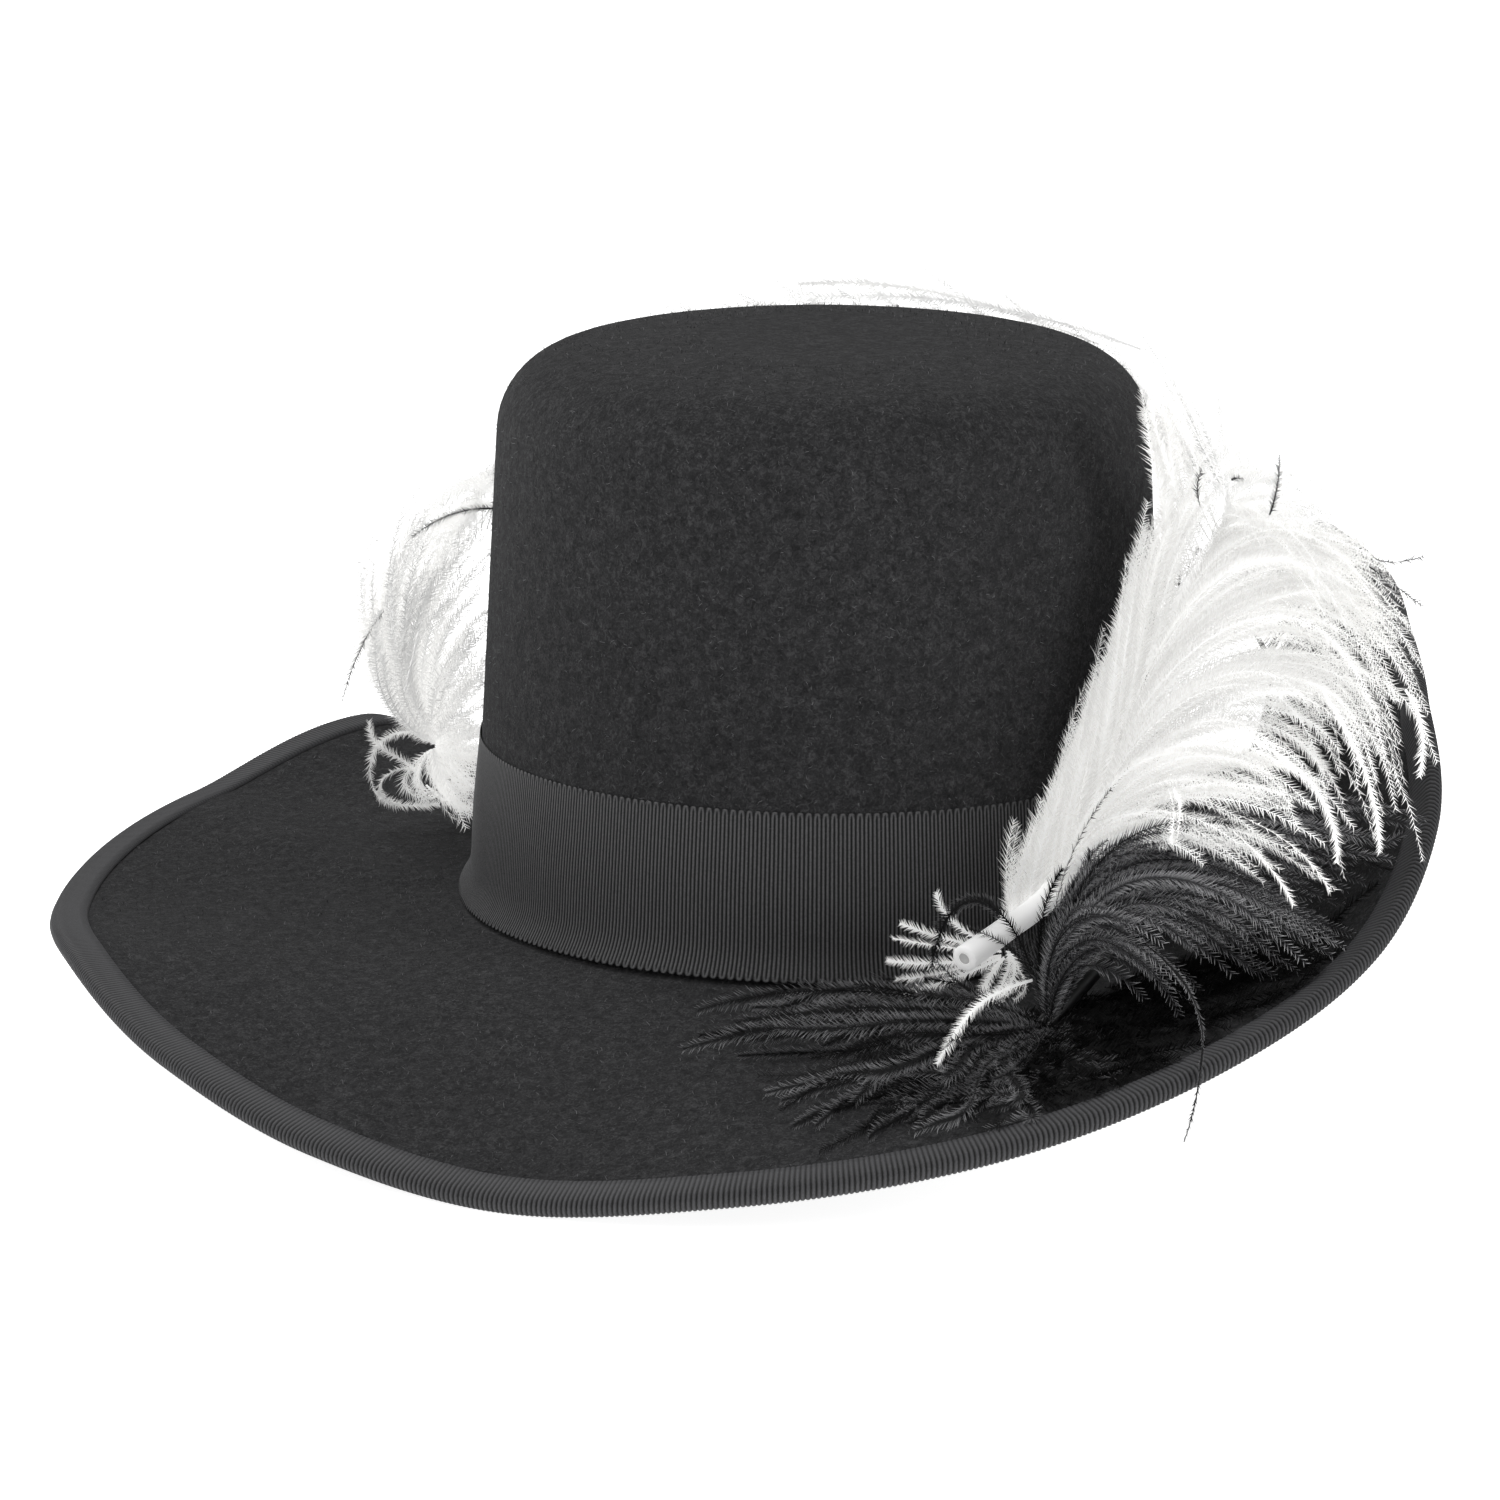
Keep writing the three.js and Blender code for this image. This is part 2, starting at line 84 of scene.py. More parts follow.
# Azimuth, the felt's slope where it leaves the crown and its slope at the edge, in degrees
BRIM_FOLDS = np.array([
    (0, 20, 95),
    (20, 24, 98),
    (40, 10, 36),
    (60, -12, -21),
    (85, -12, -21),
    (108, -12, -21),
    (130, 3, 9),
    (150, 2, -1),
    (180, -2, -3),
    (200, -3, 1),
    (220, -5, -9),
    (235, -9, -17),
    (250, -12, -21),
    (265, -10, -16),
    (280, -7, -8.5),
    (300, 0, 8.5),
    (310, 4, 21),
    (320, 10, 42),
    (330, 14, 70),
    (345, 18, 89),
])

# The soft ridge across the left of the brim: the azimuths of its ends, their places as shares
# of the brim's width, its width and the band in which it dies out at the edge as such shares
RIDGE_AZIMUTHS = (180.0, 148.0)
RIDGE_SHARES = (0.12, 0.95)
RIDGE_HEIGHT = 2.2
RIDGE_WIDTH = 0.13
RIDGE_FADE = 0.125

# The shafts of the plumes: azimuth, distance out, height
WHITE_SHAFT = np.array([
    (289, 18, 9.5),
    (296, 13, 14),
    (303.5, 10, 19),
    (309.5, 9.5, 29),
    (314, 11, 54),
    (322, 13, 76),
    (336, 14, 92),
    (358, 14, 98),
    (390, 14, 98),
    (425, 14, 100),
    (455, 14, 102),
    (482, 15, 98),
    (502, 18, 86),
    (515, 24, 64),
    (519, 28, 40),
])
BLACK_SHAFT = np.array([
    (292, 46, -1.5),
    (304, 34, 12),
    (320, 28, 30),
    (338, 26, 46),
    (360, 24, 58),
    (390, 24, 64),
    (425, 26, 62),
    (450, 28, 56),
    (472, 30, 46),
])

# Barbs in fans. Each row is one barb: how many more lie between it and the next row, then the
# places of its root, of two points that it bends towards and of its tip.
WHITE_FAN = np.array([
    (26, 305, 6, 13.5, 304, 16, 25.5, 306, 40, 44.5, 304.5, 72, 48.5),
    (28, 306, 6, 14.5, 303.5, 24, 33.5, 303, 56, 53.5, 305.5, 88, 34.5),
    (30, 307, 7, 16.5, 304, 26, 38.5, 304, 62, 63.5, 309, 92, 40.5),
    (30, 308, 8, 19.5, 305, 28, 45.5, 307, 64, 71, 310, 90, 50.5),
    (8, 310, 9, 25, 306, 30, 54, 310.5, 72, 83.5, 309.5, 94, 52),
    (36, 311.5, 10, 31, 308, 30, 64, 316, 76, 88.5, 312, 95, 44),
    (36, 313, 11, 39, 310, 30, 75, 320, 74, 98, 314, 96, 54),
    (36, 315, 12, 47.5, 312, 32, 84, 321, 72, 106.5, 316, 98, 60.5),
    (36, 317.5, 13, 56.5, 315.5, 32, 92.5, 322, 68, 112, 316.5, 98, 75),
    (36, 321.5, 13, 64.5, 319, 32, 101, 324.5, 60, 112, 316, 97, 84),
    (34, 327, 13, 75, 323.5, 30, 104, 328, 54, 109, 316, 96, 89),
    (32, 332.5, 14, 85.5, 329, 28, 104, 330.5, 48, 107, 315, 92, 94),
    (26, 340, 14, 94, 334, 26, 106, 331, 44, 107, 314, 84, 100),
    (0, 350, 14, 97, 340, 24, 107, 329.5, 40, 108, 313.5, 74, 105),
])
WHITE_FRINGE = np.array([
    (26, 299, 6, 9, 297.5, 7, 16, 298.5, 7, 22, 302, 6, 30.5),
    (30, 303.5, 6, 13, 301.5, 9, 27, 304, 8, 37.5, 308.5, 5, 50.5),
    (34, 307, 7, 16.5, 304, 12, 36, 307.5, 10, 50, 316.5, 5, 64),
    (30, 310, 9, 25, 307.5, 14, 47.5, 312, 12, 65, 323, 5, 80),
    (20, 313, 11, 39, 311, 15, 61, 316, 12, 78, 326, 6, 96),
    (14, 317, 12, 51.5, 314.5, 16, 74.5, 318, 13, 92, 329, 8, 107.5),
    (12, 319, 13, 60, 316, 17, 85.5, 320.5, 15, 103.5, 333.5, 14, 111.5),
    (14, 325, 13, 73, 319, 18, 92, 323.5, 18, 107.5, 340, 20, 112.5),
    (18, 332.5, 14, 85.5, 323.5, 14, 105, 322, 12, 121.5, 323.5, 10, 134),
    (0, 346, 14, 98, 328, 16, 118, 324, 14, 130, 322, 10, 138),
])
WHITE_BACK = np.array([
    (40, 340, 14, 94, 341, 24, 102, 343, 34, 101, 346, 42, 88),
    (44, 360, 14, 98, 362, 22, 104, 366, 34, 102, 372, 42, 88),
    (44, 385, 14, 98, 388, 20, 106, 392, 34, 104, 398, 46, 84),
    (44, 410, 14, 99, 413, 20, 108, 418, 36, 106, 424, 50, 80),
    (44, 435, 14, 101, 438, 18, 114, 443, 36, 110, 448, 52, 72),
    (40, 460, 14, 102, 463, 18, 114, 468, 34, 108, 474, 50, 64),
    (36, 482, 15, 98, 485, 18, 108, 490, 34, 98, 494, 48, 56),
    (30, 502, 18, 86, 505, 24, 96, 510, 36, 82, 512, 44, 48),
    (0, 515, 24, 64, 517, 30, 66, 520, 40, 52, 522, 42, 30),
])
WHITE_BACK_FRINGE = np.array([
    (30, 346, 14, 98, 350, 10, 112, 356, 8, 120, 364, 8, 124),
    (34, 380, 14, 98, 384, 8, 112, 390, 6, 122, 398, 6, 128),
    (34, 410, 14, 99, 415, 8, 116, 421, 6, 128, 430, 5, 136),
    (34, 440, 14, 101, 445, 8, 118, 452, 6, 130, 462, 5, 138),
    (30, 468, 14, 101, 473, 9, 114, 480, 6, 122, 488, 6, 126),
    (26, 495, 17, 90, 499, 10, 100, 505, 7, 106, 512, 6, 104),
    (0, 515, 24, 64, 518, 18, 74, 523, 12, 78, 529, 9, 72),
])
WHITE_TUFT = np.array([
    (56, 149.5, 30, 22.5, 156.5, 36, 35.5, 170, 34, 57, 176, 26, 80.5),
    (60, 149.5, 30, 22.5, 159, 36, 39.5, 167, 32, 66.5, 157.5, 22, 89),
    (52, 149.5, 30, 22.5, 154, 34, 40.5, 159.5, 30, 63.5, 150, 18, 79),
    (44, 149.5, 30, 22.5, 151.5, 30, 37, 151, 26, 50, 149.5, 16, 58.5),
    (36, 149, 30, 22, 149, 26, 31, 149, 20, 37, 149, 14, 37.5),
    (46, 149, 30, 21.5, 148.5, 24, 23, 148, 20, 24.5, 149, 14, 25),
    (24, 149, 30, 20.5, 149, 26, 15, 149, 20, 10.5, 149.5, 14, 7.5),
    (14, 150, 30, 20.5, 150.5, 30, 12.5, 149, 26, 5.5, 150, 14, 5.5),
    (0, 150.5, 30, 20.5, 154.5, 34, 15.5, 154, 36, 6.5, 150, 28, 5.5),
])
BLACK_FOUNTAIN = np.array([
    (14, 293, 46, -1, 293.5, 50, 16.5, 296, 58, 30.5, 300, 76, 13.5),
    (24, 293, 46, -1, 293.5, 48, 22, 298, 62, 38, 303, 86, 7),
    (24, 293, 46, -1, 294, 46, 27.5, 299.5, 60, 42.5, 307, 88, 11),
    (24, 293, 46, -1, 294, 44, 31.5, 301, 58, 48.5, 308.5, 88, 20),
    (24, 293, 46, -1, 294, 42, 36, 302, 54, 52, 310, 86, 29),
    (22, 293.5, 45, -1, 296, 38, 38, 306, 50, 51.5, 313, 84, 34),
    (18, 294, 44, 0, 298.5, 36, 36.5, 314, 48, 50, 317.5, 86, 34.5),
    (0, 296.5, 40, 3, 304.5, 34, 38.5, 323.5, 46, 48.5, 319, 86, 42),
])
BLACK_FAN = np.array([
    (12, 292.5, 46, -1, 286, 42, 1, 276, 31, 0, 268, 25, -3),
    (13, 292.5, 46, -1, 283, 42, 3, 274, 34, 3, 263, 32, -7),
    (13, 292, 47, -1, 282, 52, 1, 274, 50, 0, 262, 48, -12),
    (13, 292, 48, -1, 282, 60, -2, 275.5, 66, -6, 269, 80, -18),
    (13, 292, 49, -1, 283.5, 64, -4, 278, 74, -8, 274, 88, -17),
    (12, 292, 50, -1, 286, 66, -4, 281, 78, -9, 277, 86, -14),
    (11, 293, 50, -1, 289, 62, -4, 285, 74, -9, 282.5, 80, -11),
    (0, 293, 50, -1, 292.5, 58, -4, 293, 64, -7, 294, 70, -8),
])
BLACK_BACK = np.array([
    (36, 338, 26, 46, 340, 36, 62, 343, 42, 66, 346, 46, 58),
    (34, 360, 24, 58, 363, 32, 72, 367, 38, 72, 371, 42, 62),
    (34, 390, 24, 64, 393, 32, 74, 397, 40, 70, 401, 48, 56),
    (30, 425, 26, 62, 428, 34, 70, 432, 44, 62, 436, 54, 40),
    (26, 450, 28, 56, 453, 36, 62, 458, 46, 52, 461, 56, 28),
    (0, 472, 30, 46, 474, 38, 50, 478, 46, 40, 480, 54, 20),
])

# Barbs that stray from the fans, one to a row: root, two bends and tip
WHITE_STRAYS = np.array([
    (291.5, 44, 10, 285, 54, 10.5, 283, 60, 9, 280, 66, -2),
    (298, 6, 7, 291, 9, 9, 285.5, 12, 12, 280, 16, 15),
    (298, 6, 6, 290, 10, 6.5, 284.5, 14, 7.5, 279, 19, 10.5),
    (298, 6, 5.5, 290.5, 12, 4, 285, 18, 3.5, 280.5, 24, 3.5),
    (298, 6, 6, 290, 11, 5.5, 285, 16, 5, 280, 21, 6.5),
    (298, 5, 7.5, 292, 6, 12, 288, 7, 17.5, 287.5, 7, 23),
    (298, 6, 7, 292, 8, 10.5, 286.5, 10, 13, 281.5, 12, 17.5),
    (298, 6, 5, 292, 14, 2, 291, 20, -1.5, 292, 26, -2),
    (299, 6, 6, 300, 12, 2, 298, 20, -1, 293.5, 26, -3),
    (298.5, 6, 5.5, 294, 12, 2.5, 290, 18, 0.5, 290, 26, -1.5),
    (299, 6, 7, 300, 10, 4, 296, 16, 1.5, 293, 22, 0),
    (299, 6, 7, 298, 12, 5, 294, 18, 2, 291.5, 24, 1),
    (301.5, 60, 54.5, 300.5, 67, 53, 298.5, 73, 51, 297.5, 77, 47),
    (302, 60, 54.5, 301, 68, 53, 299, 73, 51, 298, 77, 46.5),
    (308.5, 88, 79.5, 310, 96, 65.5, 311.5, 97, 54.5, 312, 96, 42),
    (314, 97, 78.5, 316, 98, 72, 316, 98, 65, 315.5, 98, 58),
    (304.5, 70, 47.5, 304.5, 80, 43.5, 305, 86, 39.5, 306, 88, 31.5),
    (306, 70, 49, 307, 82, 46, 308, 88, 41, 309, 90, 33.5),
    (304, 70, 69, 308, 80, 66, 310, 90, 54, 309, 92, 40.5),
    (149, 30, 21.5, 153, 34, 30.5, 163, 38, 28, 158, 38, 13),
    (158, 38, 13, 155, 38, 6.5, 150.5, 36, 5, 148.5, 30, 5.5),
    (151, 32, 15.5, 158, 36, 20.5, 159, 40, 10.5, 153, 36, 6.5),
    (152, 32, 14.5, 154.5, 34, 22, 159, 38, 22, 159, 38, 31),
    (150, 32, 11, 150, 28, 7.5, 149, 26, 5.5, 149, 18, 6),
    (32.5, 8, 127, 62, 8, 135, 82, 8, 136, 104.5, 6, 131.5),
    (44, 10, 125.5, 69.5, 10, 136, 82, 8, 138, 95, 6, 136.5),
])
BLACK_STRAYS = np.array([
    (293, 46, 3, 295, 34, 21, 297, 34, 39.5, 307.5, 30, 53),
    (293, 46, 3, 295, 40, 20, 297, 38, 34.5, 301.5, 38, 39),
    (293, 46, 1.5, 293, 38, 12, 292, 30, 16.5, 290, 16, 16),
    (292.5, 46, 1, 290, 38, 1, 288, 30, 2, 285, 20, 10),
    (322, 44, 109.5, 323, 44, 112.5, 325.5, 42, 116.5, 327, 40, 121.5),
    (317.5, 80, 105, 316.8, 84, 104.5, 316.6, 88, 105, 318, 92, 106.5),
    (315.8, 82, 104, 315.4, 87, 102.5, 315.6, 91, 100, 317, 94, 96),
    (313, 70, 42.5, 314, 80, 40, 314, 86, 37.5, 316, 90, 34.5),
    (325, 22, 108, 324, 22, 111, 324.5, 21, 114, 327, 20, 116.5),
    (331, 24, 113, 332, 24, 113.5, 333, 24, 113, 335, 24, 112),
    (149.5, 10, 85, 154, 14, 87, 159, 18, 86, 163.5, 22, 81.5),
    (163, 30, 62, 165.5, 32, 59, 170, 34, 52, 171, 36, 42),
])
# Single black barbs that lie apart at the front, over the crown's band and out on the brim
BLACK_FRONDS = np.array([
    (292, 46, -1.5, 289, 28, 5.5, 285, 16, 8, 279, 10, 1.5),
    (291, 46, -3.5, 283, 36, 0, 278, 24, 6, 271, 18, 1),
    (290, 50, -3.5, 281, 54, -4.5, 275, 54, -4, 266.5, 58, -14.5),
    (291, 52, -7, 283, 66, -8.5, 279, 72, -7.5, 276, 80, -12),
    (293, 46, -3, 294, 46, 17, 298, 40, 28.5, 300, 36, 36.5),
    (293, 46, -3, 292, 40, 13.5, 295, 32, 25.5, 299, 28, 31),
    (291, 46, -2, 283, 30, 7, 272, 20, 10, 262.5, 16, -6.5),
    (291, 46, -2, 279, 36, 7.5, 268.5, 30, 2, 258, 30, -12),
    (291, 46, -3.5, 280.5, 40, -8, 274, 26, 1, 265.5, 12, 0),
    (290.5, 48, -4, 280, 46, -4, 272, 42, -4.5, 263, 40, -12.5),
    (290, 50, -3.5, 280, 60, -5, 273, 66, -10, 269, 74, -19.5),
    (290, 50, -3.5, 280, 64, -8.5, 277, 66, -7.5, 272, 70, -15.5),
    (290, 50, -3.5, 282, 62, -4.5, 276, 66, -3, 274, 80, -18.5),
    (291, 52, -7, 285, 66, -11, 281, 74, -10.5, 277, 82, -15),
    (291, 52, -7, 286.5, 68, -11, 285, 76, -12, 282.5, 84, -13),
    (293, 44, 0.5, 293.5, 24, 33.5, 287, 12, 27, 285.5, 14, 7),
    (293, 48, -3.5, 294.5, 52, 6.5, 296, 58, -2, 293.5, 62, -8.5),
    (291, 52, -7, 288.5, 60, -11, 284.5, 72, -14, 281.5, 82, -14.5),
    (292, 50, -5, 292, 64, -11, 291, 70, -14, 289, 78, -16),
])
# The black strand that hangs out over the brim's edge, in its upper and its lower part
BLACK_LONG_STRAND = np.array([
    (294, 84, 26.5, 295, 92, 23, 296, 99, 16.5, 295, 104, 7),
    (295, 104, 7, 294.5, 106, 1.5, 294, 108, -4.5, 293, 109, -12),
])


def srgb(code):
    """The linear colour of an sRGB hex value."""
    channels = [int(code[i:i + 2], 16) / 255 for i in (1, 3, 5)]
    return [c / 12.92 if c <= 0.04045 else ((c + 0.055) / 1.055) ** 2.4 for c in channels] + [1.0]


def unit(vectors):
    return vectors / (np.linalg.norm(vectors, axis=-1, keepdims=True) + 1e-12)


def smooth_curve(start, end, start_slope, end_slope, span, t):
    """A cubic curve between two values with given slopes, at shares t of its span."""
    return (
        start * (1 + 2 * t) * (1 - t) ** 2
        + end * t * t * (3 - 2 * t)
        + span * start_slope * t * (1 - t) ** 2
        - span * end_slope * t * t * (1 - t)
    )


# Shapes of the hat

def fold_slopes(column):
    """Slopes of a smooth closed curve through the fold table that never overswings its rows."""
    azimuths, values = BRIM_FOLDS[:, 0], BRIM_FOLDS[:, column]
    spans = (np.roll(azimuths, -1) - azimuths) % 360
    rises = (np.roll(values, -1) - values) / spans
    spans_before, rises_before = np.roll(spans, 1), np.roll(rises, 1)
    turns = rises * rises_before <= 0
    safe, safe_before = np.where(turns, 1, rises), np.where(turns, 1, rises_before)
    total = spans_before + spans
    mean = 3 * total / ((total + spans) / safe_before + (total + spans_before) / safe)
    return np.where(turns, 0, mean)


FOLD_SLOPES = {1: fold_slopes(1), 2: fold_slopes(2)}


def brim_slope(column, azimuths):
    """The brim's slope at any azimuths, in radians: column 1 at the crown, 2 at the edge."""
    turned = np.mod(azimuths, 360)
    here = np.searchsorted(BRIM_FOLDS[:, 0], turned, side="right") - 1
    there = (here + 1) % len(BRIM_FOLDS)
    span = (BRIM_FOLDS[there, 0] - BRIM_FOLDS[here, 0]) % 360
    t = (turned - BRIM_FOLDS[here, 0]) / span
    rows, slopes = BRIM_FOLDS[:, column], FOLD_SLOPES[column]
    return np.radians(smooth_curve(rows[here], rows[there], slopes[here], slopes[there], span, t))


def oval_normal(angles):
    return unit(np.stack([np.cos(angles) / CROWN_HALF_WIDTH, np.sin(angles) / CROWN_HALF_LENGTH], -1))


def hat_points(azimuths, outs, heights):
    """Points in metres at places on the hat. Within the crown the distance out shrinks the
    oval; beyond it the distance runs square to the oval."""
    angles = np.radians(azimuths)
    inset = np.minimum(outs, 0)
    beyond = np.maximum(outs, 0)
    normals = oval_normal(angles)
    return MM * np.stack([
        (CROWN_HALF_WIDTH + inset) * np.cos(angles) + beyond * normals[..., 0],
        (CROWN_HALF_LENGTH + inset) * np.sin(angles) + beyond * normals[..., 1],
        heights + 0 * angles,
    ], axis=-1)


def hat_places(points):
    """Azimuths, distances out and heights of points in metres, found by stepping along the
    oval to the place that each point is square to."""
    flat = points / MM
    angles = np.arctan2(flat[..., 1] / CROWN_HALF_LENGTH, flat[..., 0] / CROWN_HALF_WIDTH)
    for _ in range(8):
        oval = np.stack([CROWN_HALF_WIDTH * np.cos(angles), CROWN_HALF_LENGTH * np.sin(angles)], -1)
        along = np.stack([-CROWN_HALF_WIDTH * np.sin(angles), CROWN_HALF_LENGTH * np.cos(angles)], -1)
        speed = np.linalg.norm(along, axis=-1)
        gap = flat[..., :2] - oval
        outs = (gap * oval_normal(angles)).sum(-1)
        angles = angles + (gap * along).sum(-1) / speed / (speed + np.maximum(outs, 0))
    return np.degrees(angles), outs, flat[..., 2]


def arc_place(start_out, start_height, start, end, length, share):
    """Distance out, height and heading a share of the way along an evenly turning curve."""
    turn = np.where(np.abs(end - start) < 1e-6, 1e-6, end - start)
    heading = start + turn * share
    radius = length / turn
    out = start_out + radius * (np.sin(heading) - np.sin(start))
    height = start_height + radius * (np.cos(start) - np.cos(heading))
    return out, height, heading


WALL_HEADING = np.arctan2(-CROWN_HEIGHT, CROWN_LEAN)


def crown_out(height):
    return -CROWN_LEAN * height / CROWN_HEIGHT


def crown_stations():
    """Distances out and heights down the outside of the crown, from the flat of its tip."""
    tip_rows, shoulder_rows, wall_rows = 8, 11, 20
    flat_out = TIP_FLAT_HALF_WIDTH - CROWN_HALF_WIDTH
    slope = -np.arctan2(2 * TIP_RISE, -flat_out - SHOULDER_RADIUS - CROWN_LEAN)
    length = SHOULDER_RADIUS * (slope - WALL_HEADING)
    end_out, end_height, _ = arc_place(0, CROWN_HEIGHT, slope, WALL_HEADING, length, 1.0)
    shoulder_out = crown_out(end_height) - end_out
    tip = np.arange(tip_rows) / tip_rows
    tip_outs = flat_out + (shoulder_out - flat_out) * tip
    tip_heights = CROWN_HEIGHT + TIP_RISE * (1 - tip ** 2)
    stations = list(zip(tip_outs, tip_heights))
    for share in np.arange(shoulder_rows) / shoulder_rows:
        stations.append(arc_place(shoulder_out, CROWN_HEIGHT, slope, WALL_HEADING, length, share)[:2])
    for height in np.linspace(end_height, FILLET_RADIUS, wall_rows):
        stations.append((crown_out(height), height))
    return np.array(stations)


CROWN_STATIONS = crown_stations()


def ridge_lift(azimuths, share):
    """How far the soft ridge lifts the felt, in millimetres."""
    along = (np.mod(azimuths, 360) - RIDGE_AZIMUTHS[0]) / (RIDGE_AZIMUTHS[1] - RIDGE_AZIMUTHS[0])
    inside = np.clip(along, 0, 1)
    centre = RIDGE_SHARES[0] + (RIDGE_SHARES[1] - RIDGE_SHARES[0]) * inside
    fade = np.sqrt(np.sin(np.pi * inside))
    return RIDGE_HEIGHT * fade * np.exp(-((share - centre) / RIDGE_WIDTH) ** 2)


def bend_place(azimuths, share):
    """Distance out, height and heading in the bend between the crown's wall and the brim."""
    root = brim_slope(1, azimuths)
    length = FILLET_RADIUS * (root - WALL_HEADING)
    return arc_place(crown_out(FILLET_RADIUS), FILLET_RADIUS, WALL_HEADING, root, length, share)


def brim_place(azimuths, share):
    """Distance out, height and heading of the brim's top, a share of its width from the bend."""
    root, edge = brim_slope(1, azimuths), brim_slope(2, azimuths)
    out, height, _ = bend_place(azimuths, 1.0)
    sweep = BRIM_WIDTH - FILLET_RADIUS - LIP_WIDTH
    along = share * (sweep + LIP_WIDTH)
    out, height, heading = arc_place(out, height, root, edge, sweep, np.minimum(along / sweep, 1.0))
    lip = np.maximum(along - sweep, 0)
    lift = ridge_lift(azimuths, share) * np.clip((1 - share) / RIDGE_FADE, 0, 1)
    return out + lip * np.cos(edge), height + lip * np.sin(edge) + lift, heading


def crown_surface(azimuths, shares):
    """Points on the outside of the crown, a share of the way from the tip to the foot."""
    steps = np.linalg.norm(np.diff(CROWN_STATIONS, axis=0), axis=1)
    lengths = np.concatenate([[0], np.cumsum(steps)]) / steps.sum()
    outs, heights = (np.interp(shares, lengths, column) for column in CROWN_STATIONS.T)
    return hat_points(azimuths, outs, heights)


def brim_surface(azimuths, shares):
    out, height, _ = brim_place(azimuths, shares)
    return hat_points(azimuths, out, height)


# Making meshes

def deselect_all():
    if bpy.context.mode != "OBJECT":
        bpy.ops.object.mode_set(mode="OBJECT")
    bpy.ops.object.select_all(action="DESELECT")


def edit(piece):
    deselect_all()
    piece.select_set(True)
    bpy.context.view_layer.objects.active = piece
    bpy.ops.object.mode_set(mode="EDIT")


def draw_out(name, rings, ends, values=None):
    """A circle drawn out ring by ring, each ring then laid at its place. Its two ends are
    left "open", "filled", or "joined" to each other to close a section. Values from 0 to 1,
    one to each point of the rings, are kept for the material as its relief; the ribbons and
    quills paint shade from them into their grooves and pith holes, and the ribbons a painted sheen onto
    their cords."""
    # Each ring is drawn a little wider than the last, which tells it apart until it is laid
    growth = 1.02
    deselect_all()
    bpy.ops.mesh.primitive_circle_add(vertices=rings.shape[1], radius=1.0)
    piece = bpy.context.object
    piece.name = name
    piece.data.name = name
    bpy.ops.object.mode_set(mode="EDIT")
    bpy.ops.mesh.select_all(action="SELECT")
    if ends == "filled":
        fill_hole()
        bpy.ops.mesh.select_non_manifold(extend=False)
    for _ in range(len(rings) - 1):
        bpy.ops.mesh.extrude_edges_move()
        bpy.ops.transform.resize(value=(growth, growth, 1))
    if ends == "filled":
        fill_hole()
    bpy.ops.object.mode_set(mode="OBJECT")
    lay_rings(piece, rings, growth, values)
    bpy.ops.object.mode_set(mode="EDIT")
    if ends == "joined":
        bpy.ops.mesh.select_mode(type="EDGE")
        bpy.ops.mesh.select_all(action="DESELECT")
        bpy.ops.mesh.select_non_manifold(extend=False)
        bpy.ops.mesh.bridge_edge_loops()
        bpy.ops.mesh.select_mode(type="VERT")
    bpy.ops.mesh.select_all(action="SELECT")
    bpy.ops.mesh.normals_make_consistent(inside=False)
    bpy.ops.object.mode_set(mode="OBJECT")
    piece.data.shade_smooth()
    return piece


def fill_hole():
    bpy.ops.mesh.edge_face_add()
    bpy.ops.mesh.poke()


def lay_rings(piece, rings, growth, values):
    """Moves each point of the drawn disc to its place on its ring. The hubs of the filled ends
    go to the middles of their rings."""
    hub_radius = 0.5
    flat = np.empty(len(piece.data.vertices) * 3)
    piece.data.vertices.foreach_get("co", flat)
    flat = flat.reshape(-1, 3)
    radius = np.hypot(flat[:, 0], flat[:, 1])
    ring = np.rint(np.log(np.maximum(radius, hub_radius)) / np.log(growth)).astype(int)
    ring = np.clip(ring, 0, len(rings) - 1)
    step = 2 * np.pi / rings.shape[1]
    column = np.rint(np.arctan2(flat[:, 1], flat[:, 0]) / step).astype(int) % rings.shape[1]
    placed = rings[ring, column]
    for hub, end in zip(np.flatnonzero(radius < hub_radius), (rings[0], rings[-1])):
        placed[hub] = end.mean(axis=0)
    piece.data.vertices.foreach_set("co", placed.reshape(-1))
    if values is not None:
        layer = piece.data.attributes.new("relief", "FLOAT", "POINT")
        layer.data.foreach_set("value", values[ring, column].astype(np.float32))
    piece.data.update()


def mesh_of_slivers(name, points, triangles, attributes):
    """One mesh of many small parts, with values at their points for the material."""
    mesh = bpy.data.meshes.new(name)
    mesh.vertices.add(len(points))
    mesh.vertices.foreach_set("co", points.astype(np.float32).reshape(-1))
    mesh.loops.add(triangles.size)
    mesh.loops.foreach_set("vertex_index", triangles.astype(np.int32).reshape(-1))
    mesh.polygons.add(len(triangles))
    mesh.polygons.foreach_set("loop_start", np.arange(0, triangles.size, 3, dtype=np.int32))
    mesh.update(calc_edges=True)
    for key, values in attributes.items():
        layer = mesh.attributes.new(key, "FLOAT", "POINT")
        layer.data.foreach_set("value", values.astype(np.float32))
    piece = bpy.data.objects.new(name, mesh)
    bpy.context.scene.collection.objects.link(piece)
    return piece


# Felt body

